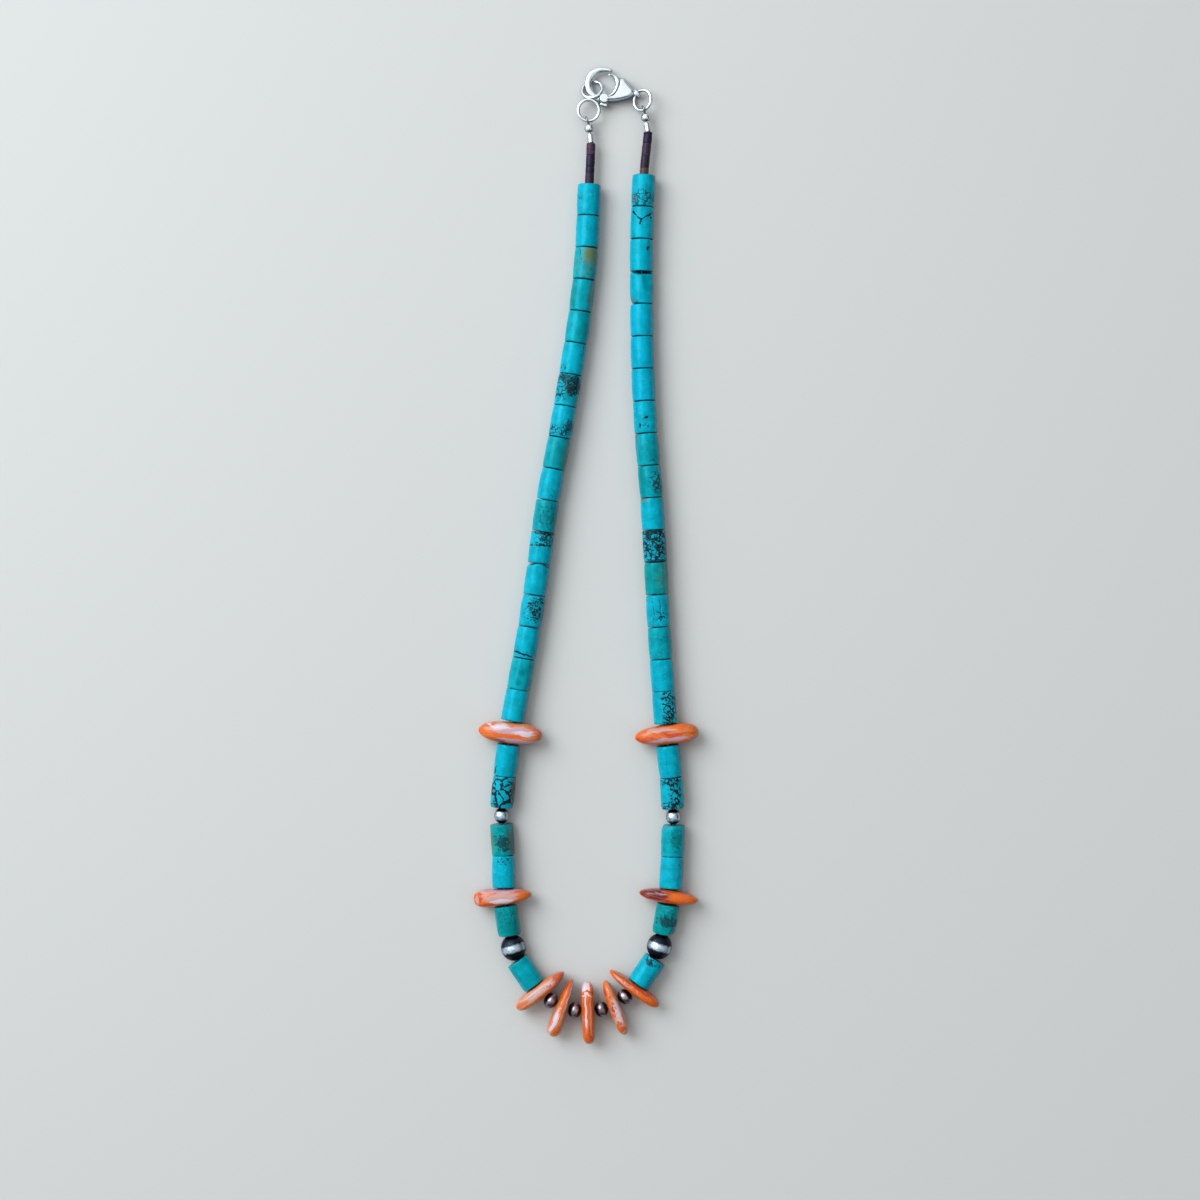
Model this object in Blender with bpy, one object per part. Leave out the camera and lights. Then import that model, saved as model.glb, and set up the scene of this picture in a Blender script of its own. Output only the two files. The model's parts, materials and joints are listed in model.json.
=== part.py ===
# Gemstone bead necklace: turquoise tubes, shell slices and silver beads on one wire, closed by a claw clasp.
# It lies on a flat surface, the clasp towards +Y and the fringe of slices towards -Y. Lengths are in metres,
# and the origin is at the middle of the footprint, on the surface.

import math
from collections import namedtuple

import bmesh
import bpy
from mathutils import Matrix, Vector

MM = 0.001

# Clearances
GAP = 0.3 * MM
SLICE_GAP = 0.45 * MM
FLOOR_GAP = 0.05 * MM

# Beading wire and the bores for it
WIRE_RADIUS = 0.25 * MM
BORE_RADIUS = WIRE_RADIUS + GAP
STRAND_OFFSET = 0.3 * MM
CRIMP_BORE = STRAND_OFFSET + WIRE_RADIUS + GAP

# Turquoise tubes
RUN_TUBE_LENGTHS = {"left": 8.0 * MM, "right": 8.1 * MM}
UPPER_TUBE_LENGTH = 8.0 * MM
LOWER_TUBE_LENGTH = 7.5 * MM
TUBE_RADIUS = 3.0 * MM
TUBES_IN_RUN = 17
NECK_RADIUS = 1.2 * MM

# Shell slices: the hole goes through the thickness
SLICE_HEIGHT = 7.0 * MM
SLICE_STATIONS = 10
SLICE_CORNERS = 12
SLICE_SECTION_POWER = 0.7
SLICE_HEIGHT_POWER = 3.0
SLICE_END_THICK = 0.14
SLICE_END_HIGH = 0.2
Slice = namedtuple("Slice", "length thick taper outer inner lean shift")
# taper is the change of thickness from hole to inner end, as a share. outer and inner are the powers that
# round the two ends, from 1.7 for a point to 8 for a flat end. lean is in degrees off the string's normal.
# shift moves the slice along its own length, outwards from the hole.
SLICES = {
    "upper_left": Slice(16.6 * MM, 5.7 * MM, 0.05, 2.6, 2.6, 3.2, 0.0),
    "lower_left": Slice(15.2 * MM, 4.3 * MM, -0.15, 5.0, 2.0, 0.0, 0.5 * MM),
    "fringe_a": Slice(15.5 * MM, 3.8 * MM, -0.05, 3.0, 1.7, -7.0, -0.2 * MM),
    "fringe_b": Slice(15.8 * MM, 3.0 * MM, -0.45, 5.0, 5.0, 2.0, 0.3 * MM),
    "fringe_c": Slice(16.2 * MM, 3.3 * MM, 0.0, 8.0, 8.0, -0.7, 0.4 * MM),
    "fringe_d": Slice(15.0 * MM, 3.2 * MM, -0.08, 3.5, 3.5, -6.8, 1.0 * MM),
    "fringe_e": Slice(15.7 * MM, 2.8 * MM, -0.1, 4.5, 1.8, 9.3, 0.0),
    "lower_right": Slice(15.5 * MM, 3.7 * MM, 0.0, 1.7, 1.7, 0.0, -0.2 * MM),
    "upper_right": Slice(16.6 * MM, 5.2 * MM, -0.05, 4.0, 2.4, 0.4, 0.0),
}

# Silver beads
SMALL_BALL_LENGTH = 3.8 * MM
SMALL_BALL_RADIUS = 1.9 * MM
LARGE_BALL_LENGTH = 6.5 * MM
LARGE_BALL_RADIUS = 3.25 * MM
SPACER_LENGTH = 3.0 * MM
SPACER_RADIUS = 2.1 * MM

# Heishi strands
HEISHI_RADIUS = 1.18 * MM
HEISHI_NECK = 0.85 * MM
HEISHI_GAP = 0.12 * MM
HEISHI_LEFT = [3.0 * MM, 2.9 * MM, 1.5 * MM, 2.8 * MM]
HEISHI_RIGHT = [0.5 * MM, 2.2 * MM, 3.1 * MM, 3.1 * MM, 1.7 * MM]

# Crimps
CRIMP_BALL_RADIUS = 1.2 * MM
CRIMP_TUBE_LENGTH = 2.3 * MM
CRIMP_TUBE_RADIUS = 0.78 * MM

# Rings
RING_WIRE = 0.83 * MM
JUMP_RING_OUTSIDE = 6.05 * MM
JUMP_RING_TILT = 34.0
LINK_UPPER_OUTSIDE = 6.1 * MM
LINK_LOWER_OUTSIDE = 6.3 * MM
WAIST_STEP = 0.55 * MM

# Claw clasp, in its own plane: u runs to the eye, v across, and the hook's hollow is centred on u = v = 0
CLAW_CENTRE = (4.55 * MM, 122.93 * MM)
CLAW_TURN = -16.5
HOOK_HEIGHT = 1.24 * MM
HOOK_INNER_RADIUS = 3.08 * MM
HOOK_WIDTH = 1.82 * MM
LEVER_HEIGHT = 1.2 * MM
LEVER_WIDTH = 0.77 * MM
LEVER_TIP_RADIUS = 0.35 * MM
LEVER_TIP = (0.87 * MM, 2.75 * MM)
PIVOT = (1.3 * MM, -3.65 * MM)
PIN_RADIUS = 0.3 * MM
LUG_RADIUS = 0.92 * MM
STEM_HALF = 0.46 * MM
TAB_LENGTH = 2.2 * MM
TAB_WIDTH = 0.9 * MM
TAB_HEIGHT = 1.5 * MM
TAB_DROP = 1.5 * MM
CLAW_REACH = 8.9 * MM
CLAW_HALF = 4.3 * MM
EYE_RADIUS = 1.22 * MM
EYE_BORE = 0.8 * MM
EYE_WIDTH = 1.15 * MM
CLAW_MID = HOOK_HEIGHT / 2 + GAP + RING_WIRE + FLOOR_GAP
BODY_BEVEL = 0.6 * MM
# The block that carries the hook's root on the cheeks, from the slot's near side
ROOT_LENGTH = 0.7 * MM
ROOT_BELOW = 0.75 * MM
ROOT_ABOVE = 0.5 * MM

Band = namedtuple("Band", "angle inner width")
# The hook from its tip round to its root: inner radius and width as shares of the two sizes above
HOOK_SECTIONS = [
    Band(77, 1.14, 0.52),
    Band(99, 1.02, 0.68),
    Band(130, 1.0, 0.86),
    Band(158, 1.0, 1.0),
    Band(186, 1.0, 1.0),
    Band(214, 1.0, 0.97),
    Band(240, 1.0, 0.92),
    Band(262, 1.0, 0.86),
    Band(276, 1.0, 0.84),
]
# The lever's gate from its pivot up to the horn under the hook's tip
LEVER_SECTIONS = [
    Band(-68, 1.0, 1.0),
    Band(-45, 1.0, 1.0),
    Band(-20, 1.0, 1.0),
    Band(5, 1.0, 1.05),
    Band(22, 1.0, 1.35),
    Band(36, 1.0, 1.72),
    Band(46, 1.0, 1.4),
    Band(57, 1.0, 0.8),
    Band(68, 0.98, 0.45),
]
Corner = namedtuple("Corner", "along across")
# The claw's back, from the pivot's cheek to the top of the gate, as shares of its reach and half width
BODY_BACK = [
    Corner(0.10, -1.04),
    Corner(0.30, -0.96),
    Corner(0.48, -0.84),
    Corner(0.70, -0.60),
    Corner(0.90, -0.30),
    Corner(0.96, 0.06),
    Corner(0.82, 0.29),
    Corner(0.66, 0.52),
    Corner(0.53, 0.70),
]

# Where the link and the ring sit, as plan angles in degrees
LINK_BEARING = 205.8
WAIST_BEARING = 257.1
LOWER_BEARING = 263.3
LEFT_END_BEARING = -68.0
EYE_ANGLE = 136.4
LOOP_ANGLE = -80.0
RIGHT_END_BEARING = -71.0
EYE_SAG = 0.3 * MM

# The string's route in plan, from the left crimp round the fringe to the right crimp, in millimetres
ROUTE = [
    (1.3, 107.7), (1.1, 101.7), (0.7, 92.5), (0.3, 80.7), (-1.4, 64.1), (-4.0, 47.1), (-6.9, 30.4),
    (-10.1, 13.6), (-12.3, -2.7), (-14.8, -19.3), (-17.8, -35.7), (-19.7, -46.3), (-21.1, -57.0),
    (-22.0, -67.3), (-21.4, -77.8), (-21.2, -88.4), (-19.1, -102.0), (-15.7, -108.6), (-11.5, -113.8),
    (-6.4, -117.2), (0.3, -118.6), (7.0, -116.8), (12.0, -113.0), (15.7, -108.6), (19.2, -101.9),
    (21.8, -88.2), (22.5, -77.8), (22.7, -67.3), (22.1, -57.1), (20.9, -46.0), (20.2, -35.6),
    (19.0, -19.0), (18.1, -1.8), (17.1, 15.0), (15.7, 31.3), (14.8, 48.3), (14.5, 65.5),
    (14.5, 82.3), (15.1, 99.1), (15.6, 105.0), (16.1, 110.2),
]
ROUTE_TOP = 99.0


# The wire's loops go round a ring's wire between these two angles off the string's line
LOOP_HALF_TURN = 110

# Mesh fineness
BEAD_SIDES = 12
BALL_STEPS = 5
WIRE_SIDES = 6
BAND_SIDES = 8
PIN_SIDES = 8
EYE_SIDES = 10
RING_STEPS = 16
LOOP_STEPS = 8
ROUTE_STEPS = 24
SHARP_ANGLE = math.radians(40)
BEVEL_ANGLE = math.radians(60)
SEARCH_STEPS = 40

Bead = namedtuple("Bead", "name kind length radius gap level")
Look = namedtuple("Look", "colour roughness metallic")
LOOKS = {
    "turquoise": Look((0.16, 0.62, 0.60), 0.28, 0.0),
    "shell": Look((0.72, 0.20, 0.05), 0.30, 0.0),
    "silver": Look((0.78, 0.77, 0.75), 0.22, 1.0),
    "dark_silver": Look((0.22, 0.19, 0.17), 0.38, 1.0),
    "heishi": Look((0.09, 0.06, 0.06), 0.45, 0.0),
    "wire": Look((0.70, 0.70, 0.70), 0.30, 1.0),
}


def plan(degrees):
    """Unit vector in plan at an angle from +X."""
    turn = math.radians(degrees)
    return Vector((math.cos(turn), math.sin(turn), 0.0))


def circle(centre, along, radius, sides):
    """A polygon round an axis, its flats touching the circle and one flat facing down."""
    along = along.normalized()
    side = along.cross(Vector((0, 0, 1))).normalized()
    rise = side.cross(along)
    corner = radius / math.cos(math.pi / sides)
    turns = [2 * math.pi * (k + 0.5) / sides for k in range(sides)]
    return [centre + corner * (math.sin(t) * side - math.cos(t) * rise) for t in turns]


def wrap(bm, loops, join_ends):
    """Faces between each loop of points and the next. The last meets the first, or both ends are capped."""
    rows = [[bm.verts.new(point) for point in loop] for loop in loops]
    pairs = list(zip(rows, rows[1:]))
    if join_ends:
        pairs.append((rows[-1], rows[0]))
    for row, after in pairs:
        for k in range(len(row)):
            step = (k + 1) % len(row)
            bm.faces.new((row[k], row[step], after[step], after[k]))
    if not join_ends:
        bm.faces.new(rows[0])
        bm.faces.new(rows[-1])
    bmesh.ops.recalc_face_normals(bm, faces=bm.faces)


def add_object(name, bm, look, location=(0, 0, 0)):
    """A named object with its own material, under the necklace's empty."""
    mesh = bpy.data.meshes.new(name)
    bm.to_mesh(mesh)
    bm.free()
    mesh.shade_smooth()
    mesh.set_sharp_from_angle(angle=SHARP_ANGLE)
    obj = bpy.data.objects.new(name, mesh)
    obj.location = location
    obj.parent = necklace
    bpy.context.scene.collection.objects.link(obj)
    material = bpy.data.materials.new(name)
    material.use_nodes = True
    shader = material.node_tree.nodes["Principled BSDF"]
    shader.inputs["Base Color"].default_value = (*LOOKS[look].colour, 1.0)
    shader.inputs["Roughness"].default_value = LOOKS[look].roughness
    shader.inputs["Metallic"].default_value = LOOKS[look].metallic
    mesh.materials.append(material)
    return obj


def add_tool(name, bm):
    """A hidden shape that a Boolean adds to a piece or cuts from it."""
    tool = add_object(name, bm, "silver")
    tool.hide_render = True
    tool.display_type = "WIRE"
    return tool


def combine(obj, tool, operation):
    """Join a tool's shape to a piece, or cut it out."""
    step = obj.modifiers.new(tool.name, "BOOLEAN")
    step.operation = operation
    step.solver = "EXACT"
    step.object = tool


def smooth_curve(points, steps):
    """A Catmull-Rom curve through plan points, as a dense list of points."""
    ends = [2 * points[0] - points[1]] + points + [2 * points[-1] - points[-2]]
    curve = []
    for before, start, end, after in zip(ends, ends[1:], ends[2:], ends[3:]):
        for k in range(steps):
            t = k / steps
            curve.append(
                0.5 * (2 * start + (end - before) * t
                       + (2 * before - 5 * start + 4 * end - after) * t ** 2
                       + (3 * start - before - 3 * end + after) * t ** 3))
    curve.append(points[-1].copy())
    return curve


def stretched_route(start, end, stretch):
    """The string's curve, its length below the crimps stretched along Y."""
    points = []
    for x, y in ROUTE:
        below = min(0.0, y - ROUTE_TOP)
        points.append(Vector((x, y - below + below * stretch)) * MM)
    return smooth_curve([start.to_2d()] + points + [end.to_2d()], ROUTE_STEPS)


def walk(curve, chords):
    """Plan points along a curve, each a given chord from the last, and how many chords past its end."""
    joints = [curve[0]]
    place = 1
    for number, chord in enumerate(chords):
        here = joints[-1]
        while place < len(curve) and (curve[place] - here).length < chord:
            place += 1
        if place == len(curve):
            left = sum(chords[number:]) - (curve[-1] - here).length
            return joints, left
        near = curve[place - 1]
        far = curve[place]
        low = 0.0
        high = 1.0
        for _ in range(SEARCH_STEPS):
            share = (low + high) / 2
            if (near.lerp(far, share) - here).length < chord:
                low = share
            else:
                high = share
        joints.append(near.lerp(far, low))
    return joints, -(curve[-1] - joints[-1]).length


def bead_list():
    """Every bead in order, from the left crimp ball to the right one."""

    def tube(name, length):
        return Bead(name, "tube", length, TUBE_RADIUS, GAP, TUBE_RADIUS)

    def crimps(side):
        ball = Bead(f"crimp_ball_{side}", "crimp_ball", 2 * CRIMP_BALL_RADIUS, CRIMP_BALL_RADIUS, GAP,
                    crimp_height)
        sleeve = Bead(f"crimp_{side}", "crimp_tube", CRIMP_TUBE_LENGTH, CRIMP_TUBE_RADIUS, GAP, crimp_height)
        return [ball, sleeve]

    def heishi(side, lengths):
        return [Bead(f"heishi_{side}", "heishi", length, HEISHI_RADIUS, HEISHI_GAP, None)
                for length in lengths]

    def run(side):
        return [tube(f"turquoise_run_{side}", RUN_TUBE_LENGTHS[side])] * TUBES_IN_RUN

    def single(side, number):
        return tube(f"turquoise_{side}_{number}", UPPER_TUBE_LENGTH if number < 5 else LOWER_TUBE_LENGTH)

    def shell(name):
        return Bead(f"slice_{name}", "slice", SLICES[name].thick, SLICE_HEIGHT / 2, SLICE_GAP,
                    SLICE_HEIGHT / 2)

    def ball(name, length, radius, level=None):
        return Bead(f"silver_{name}", "ball", length, radius, GAP, level)

    def lower_side(side):
        return [
            shell(f"upper_{side}"), single(side, 1), single(side, 2),
            ball(f"small_{side}", SMALL_BALL_LENGTH, SMALL_BALL_RADIUS),
            single(side, 3), single(side, 4), shell(f"lower_{side}"), single(side, 5),
            ball(f"large_{side}", LARGE_BALL_LENGTH, LARGE_BALL_RADIUS, LARGE_BALL_RADIUS),
            single(side, 6),
        ]

    fringe = [shell("fringe_a")]
    for number, name in enumerate(("fringe_b", "fringe_c", "fringe_d", "fringe_e"), start=1):
        fringe += [ball(f"spacer_{number}", SPACER_LENGTH, SPACER_RADIUS), shell(name)]
    left = crimps("left") + heishi("left", HEISHI_LEFT) + run("left") + lower_side("left")
    right = crimps("right") + heishi("right", HEISHI_RIGHT) + run("right") + lower_side("right")
    return left + fringe + right[::-1]


def joint_heights(beads):
    """Height of the string at both ends of each bead: what carries it rests on the surface."""
    heights = [beads[0].level]
    for before, after in zip(beads, beads[1:]):
        levels = [bead.level for bead in (before, after) if bead.level is not None]
        heights.append(max(levels) if levels else None)
    heights.append(beads[-1].level)
    known = [k for k, height in enumerate(heights) if height is not None]
    for low, high in zip(known, known[1:]):
        for k in range(low + 1, high):
            share = (k - low) / (high - low)
            heights[k] = heights[low] + share * (heights[high] - heights[low])
    return heights


def lay_string(beads, start, end):
    """Points between the beads, with the route stretched until the last bead meets the right loop."""
    heights = joint_heights(beads)
    rises = [after - before for before, after in zip(heights, heights[1:])]
    chords = [math.sqrt((bead.length + bead.gap) ** 2 - rise ** 2) for bead, rise in zip(beads, rises)]
    low = 0.5
    high = 2.0
    for _ in range(SEARCH_STEPS):
        stretch = (low + high) / 2
        _, left = walk(stretched_route(start, end, stretch), chords)
        if left > 0:
            low = stretch
        else:
            high = stretch
    joints, _ = walk(stretched_route(start, end, high), chords)
    return [Vector((joint.x, joint.y, height)) for joint, height in zip(joints, heights)]


def bead_profile(bead):
    """Radii along a bead, as (share of its length, radius)."""
    if bead.kind in ("tube", "heishi", "crimp_tube"):
        return [(0.0, bead.radius), (1.0, bead.radius)]
    bore = CRIMP_BORE if bead.kind == "crimp_ball" else BORE_RADIUS
    first = math.asin(bore / bead.radius)
    turns = [first + (math.pi - 2 * first) * k / BALL_STEPS for k in range(BALL_STEPS + 1)]
    return [(0.5 - 0.5 * math.cos(turn), bead.radius * math.sin(turn)) for turn in turns]


def bead_ends(bead, start, end):
    """The two ends of a bead's own axis, half a gap inside the points between beads."""
    along = (end - start).normalized()
    inset = along * bead.gap / 2
    return start + inset, end - inset, along


def turned_loops(bead, start, end):
    """The outer loops of a bead, from its start to its end."""
    low, high, along = bead_ends(bead, start, end)
    return [circle(low.lerp(high, share), along, radius, BEAD_SIDES) for share, radius in bead_profile(bead)]


def bore_loops(bead, start, end, radius):
    """The bore's loops, from the bead's end back to its start."""
    low, high, along = bead_ends(bead, start, end)
    profile = bead_profile(bead)
    shares = (profile[-1][0], profile[0][0])
    return [circle(low.lerp(high, share), along, radius, BEAD_SIDES) for share in shares]


def single_bead(bead, start, end, look):
    """One drilled bead, turned about the string."""
    bm = bmesh.new()
    outer = turned_loops(bead, start, end)
    if bead.kind in ("ball", "crimp_ball"):
        outer = outer[1:-1]
        inner_radius = CRIMP_BORE if bead.kind == "crimp_ball" else BORE_RADIUS
    else:
        inner_radius = BORE_RADIUS
    wrap(bm, outer + bore_loops(bead, start, end, inner_radius), True)
    return add_object(bead.name, bm, look)


def fused_string(name, beads, joints, neck, look):
    """A string of drilled beads in one solid, joined by short necks in the gaps between them."""
    bm = bmesh.new()
    outer = []
    bore = []
    for number, bead in enumerate(beads):
        start, end = joints[number], joints[number + 1]
        low, high, along = bead_ends(bead, start, end)
        if number > 0:
            outer.append(circle(low, along, neck, BEAD_SIDES))
        outer += turned_loops(bead, start, end)
        if number < len(beads) - 1:
            outer.append(circle(high, along, neck, BEAD_SIDES))
    ends = [bead_ends(beads[0], joints[0], joints[1])[0]] + joints[1:len(beads)]
    ends.append(bead_ends(beads[-1], joints[-2], joints[-1])[1])
    for number, point in enumerate(ends):
        before = ends[max(number - 1, 0)]
        after = ends[min(number + 1, len(ends) - 1)]
        bore.append(circle(point, after - before, BORE_RADIUS, BEAD_SIDES))
    wrap(bm, outer + bore[::-1], True)
    return add_object(name, bm, look)


def shell_slice(bead, start, end):
    """A slice of shell standing across the string, drilled through its thickness."""
    form = SLICES[bead.name.removeprefix("slice_")]
    limit = math.cos(math.pi / SLICE_CORNERS) ** SLICE_SECTION_POWER
    loops = []
    for k in range(SLICE_STATIONS + 1):
        share = math.sin(math.pi * (k / SLICE_STATIONS - 0.5))
        power = form.inner if share > 0 else form.outer
        full = max(math.sqrt(1 - abs(share) ** power), SLICE_END_THICK)
        tall = max(math.sqrt(1 - abs(share) ** SLICE_HEIGHT_POWER), SLICE_END_HIGH)
        half_thick = form.thick / 2 * (1 + form.taper * share) * full / limit
        half_high = SLICE_HEIGHT / 2 * tall / limit
        along = share * form.length / 2 - form.shift
        loop = []
        for c in range(SLICE_CORNERS):
            turn = 2 * math.pi * (c + 0.5) / SLICE_CORNERS
            across = math.copysign(abs(math.cos(turn)) ** SLICE_SECTION_POWER, math.cos(turn))
            up = math.copysign(abs(math.sin(turn)) ** SLICE_SECTION_POWER, math.sin(turn))
            loop.append(Vector((along, across * half_thick, up * half_high)))
        loops.append(loop)
    bm = bmesh.new()
    wrap(bm, loops, False)
    middle = (start + end) / 2
    heading = math.atan2(end.y - start.y, end.x - start.x)
    obj = add_object(bead.name, bm, "shell", middle)
    obj.rotation_euler.z = heading + math.pi / 2 + math.radians(form.lean)
    reach = (end - start).normalized() * form.thick * 2
    ends = [middle - reach, middle + reach]
    cut = bmesh.new()
    wrap(cut, [circle(point, reach, BORE_RADIUS, PIN_SIDES) for point in ends], False)
    combine(obj, add_tool(f"{bead.name}_bore", cut), "DIFFERENCE")


def tube_loops(path, radius, sides):
    """Loops round an open path, turned as little as possible from one point to the next."""
    headings = []
    for number in range(len(path)):
        before = path[max(number - 1, 0)]
        after = path[min(number + 1, len(path) - 1)]
        headings.append((after - before).normalized())
    side = headings[0].orthogonal().normalized()
    loops = []
    for point, heading in zip(path, headings):
        side = (side - side.dot(heading) * heading).normalized()
        other = heading.cross(side)
        turns = [2 * math.pi * k / sides for k in range(sides)]
        loops.append([point + radius * (math.cos(t) * side + math.sin(t) * other) for t in turns])
    return loops


def ring_loops(centre, across, up, outside):
    """Loops of a round wire ring in the plane of two unit vectors."""
    normal = across.cross(up)
    middle = (outside - RING_WIRE) / 2
    loops = []
    for k in range(RING_STEPS):
        turn = 2 * math.pi * (k + 0.5) / RING_STEPS
        out = math.cos(turn) * across + math.sin(turn) * up
        loop = []
        for c in range(WIRE_SIDES):
            wire_turn = 2 * math.pi * c / WIRE_SIDES
            loop.append(centre + out * (middle + RING_WIRE / 2 * math.cos(wire_turn))
                        + normal * (RING_WIRE / 2 * math.sin(wire_turn)))
        loops.append(loop)
    return loops


def add_link():
    """The figure-eight link: its upper ring rises from under the hook to over it, and its lower ring holds
    the left loop of the wire. Returns the point of the lower ring that the loop goes round."""
    reach = (LINK_UPPER_OUTSIDE - RING_WIRE) / 2
    rise = HOOK_HEIGHT / 2 + GAP + RING_WIRE / 2
    tilt = math.asin(rise / reach)
    hook_middle = HOOK_INNER_RADIUS + HOOK_WIDTH / 2
    inward = math.sqrt(hook_middle ** 2 - (reach * math.cos(tilt)) ** 2)
    level = plan(LINK_BEARING)
    centre = claw_origin + level * inward
    slope = plan(LINK_BEARING + 90) * math.cos(tilt) + Vector((0, 0, math.sin(tilt)))
    turn = math.radians(WAIST_BEARING - LINK_BEARING)
    turn = math.atan2(math.sin(turn) / math.cos(tilt), math.cos(turn))
    waist = centre + reach * (math.cos(turn) * level + math.sin(turn) * slope)
    lower_reach = (LINK_LOWER_OUTSIDE - RING_WIRE) / 2
    span = WAIST_STEP + 2 * lower_reach
    drop = crimp_height - waist.z
    flat = math.sqrt(span ** 2 - drop ** 2)
    heading = (plan(LOWER_BEARING) * flat + Vector((0, 0, drop))).normalized()
    far_end = waist + heading * span
    lower_centre = far_end - heading * lower_reach
    bm = bmesh.new()
    wrap(bm, ring_loops(centre, level, slope, LINK_UPPER_OUTSIDE), True)
    link = add_object("end_link", bm, "silver")
    bm = bmesh.new()
    wrap(bm, ring_loops(lower_centre, heading, plan(LOWER_BEARING + 90), LINK_LOWER_OUTSIDE), True)
    combine(link, add_tool("end_link_lower", bm), "UNION")
    return far_end


def jump_ring_frame():
    """Centre and plane of the jump ring, hung from the claw's eye at one point."""
    across = Vector((math.cos(math.radians(JUMP_RING_TILT)), 0, math.sin(math.radians(JUMP_RING_TILT))))
    up = Vector((0, 1, 0))
    reach = (JUMP_RING_OUTSIDE - RING_WIRE) / 2
    at_eye = math.radians(EYE_ANGLE)
    eye = claw_origin + CLAW_REACH * plan(CLAW_TURN) - Vector((0, 0, EYE_SAG))
    centre = eye - reach * (math.cos(at_eye) * across + math.sin(at_eye) * up)
    along = -math.sin(at_eye) * across + math.cos(at_eye) * up
    at_loop = math.radians(LOOP_ANGLE)
    held = centre + reach * (math.cos(at_loop) * across + math.sin(at_loop) * up)
    return centre, across, up, along, held


def claw_point(along, across, height=0.0):
    """A point of the claw's own plane, in the necklace's frame."""
    return claw_origin + along * plan(CLAW_TURN) + across * plan(CLAW_TURN + 90) + Vector((0, 0, height))


def claw_band(sections, width, height):
    """A curved bar round the claw's hollow, its flats as far apart as its width and height."""
    grow = 1 / math.cos(math.pi / BAND_SIDES)
    loops = []
    for row in sections:
        half_wide = width * row.width / 2
        middle = HOOK_INNER_RADIUS * row.inner + half_wide
        turn = math.radians(row.angle)
        loop = []
        for c in range(BAND_SIDES):
            corner = 2 * math.pi * (c + 0.5) / BAND_SIDES
            out = middle + grow * half_wide * math.cos(corner)
            up = grow * height / 2 * math.sin(corner)
            loop.append(claw_point(out * math.cos(turn), out * math.sin(turn), up))
        loops.append(loop)
    return loops


def prism(outline, low, high):
    """An upright prism on an outline in the claw's plane."""
    bm = bmesh.new()
    wrap(bm, [[claw_point(a, b, low) for a, b in outline], [claw_point(a, b, high) for a, b in outline]],
         False)
    return bm


def box_outline(left, right, low, high):
    """A rectangular outline in the claw's plane."""
    return [(left, low), (right, low), (right, high), (left, high)]


def disc_outline(centre, radius, sides, stretch=0.0):
    """A round outline in the claw's plane, its two halves moved apart along the claw by a stretch."""
    outline = []
    for k in range(sides):
        turn = 2 * math.pi * (k + 0.5) / sides
        run = math.copysign(stretch / 2, math.cos(turn))
        outline.append((centre[0] + run + radius * math.cos(turn), centre[1] + radius * math.sin(turn)))
    return outline


def add_claw_body(ring_along):
    """The cast claw: back, pivot cheeks, fixed hook and eye, slotted for the lever."""
    gate = []
    for row in reversed(LEVER_SECTIONS[:6]):
        out = HOOK_INNER_RADIUS * row.inner + LEVER_WIDTH * row.width + GAP
        turn = math.radians(row.angle)
        gate.append((out * math.cos(turn), out * math.sin(turn)))
    back = [(corner.along * CLAW_REACH, corner.across * CLAW_HALF) for corner in BODY_BACK]
    body = add_object("clasp_body", prism(back + gate, -CLAW_MID, CLAW_MID), "silver")
    round_off = body.modifiers.new("rounded_edges", "BEVEL")
    round_off.width = BODY_BEVEL
    round_off.segments = 2
    round_off.limit_method = "ANGLE"
    round_off.angle_limit = BEVEL_ANGLE
    cheek = prism(disc_outline(PIVOT, LUG_RADIUS + GAP, BEAD_SIDES), -CLAW_MID + GAP, CLAW_MID - GAP)
    combine(body, add_tool("claw_cheeks", cheek), "UNION")
    bm = bmesh.new()
    wrap(bm, claw_band(HOOK_SECTIONS, HOOK_WIDTH, HOOK_HEIGHT), False)
    combine(body, add_tool("claw_hook", bm), "UNION")
    slot_side = PIVOT[0] - LUG_RADIUS - GAP
    root = box_outline(slot_side - ROOT_LENGTH, slot_side + GAP, PIVOT[1] - ROOT_BELOW, PIVOT[1] + ROOT_ABOVE)
    combine(body, add_tool("claw_root", prism(root, -CLAW_MID + 2 * GAP, HOOK_HEIGHT / 2)), "UNION")
    eye = claw_point(CLAW_REACH, 0.0)
    half = ring_along * EYE_WIDTH / 2
    bm = bmesh.new()
    wrap(bm, [circle(point, half, EYE_RADIUS, BEAD_SIDES) for point in (eye - half, eye + half)], False)
    combine(body, add_tool("claw_eye", bm), "UNION")
    bm = bmesh.new()
    wrap(bm, [circle(point, half, EYE_BORE, EYE_SIDES) for point in (eye - 3 * half, eye + 3 * half)], False)
    combine(body, add_tool("claw_eye_hole", bm), "DIFFERENCE")
    slot_height = LEVER_HEIGHT / 2 + GAP
    slot = prism(disc_outline(PIVOT, LUG_RADIUS + GAP, 2 * PIN_SIDES), -slot_height, slot_height)
    combine(body, add_tool("claw_slot", slot), "DIFFERENCE")
    pin = prism(disc_outline(PIVOT, PIN_RADIUS, PIN_SIDES), -CLAW_MID + 2 * GAP, CLAW_MID - 2 * GAP)
    combine(body, add_tool("claw_pin", pin), "UNION")


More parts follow.
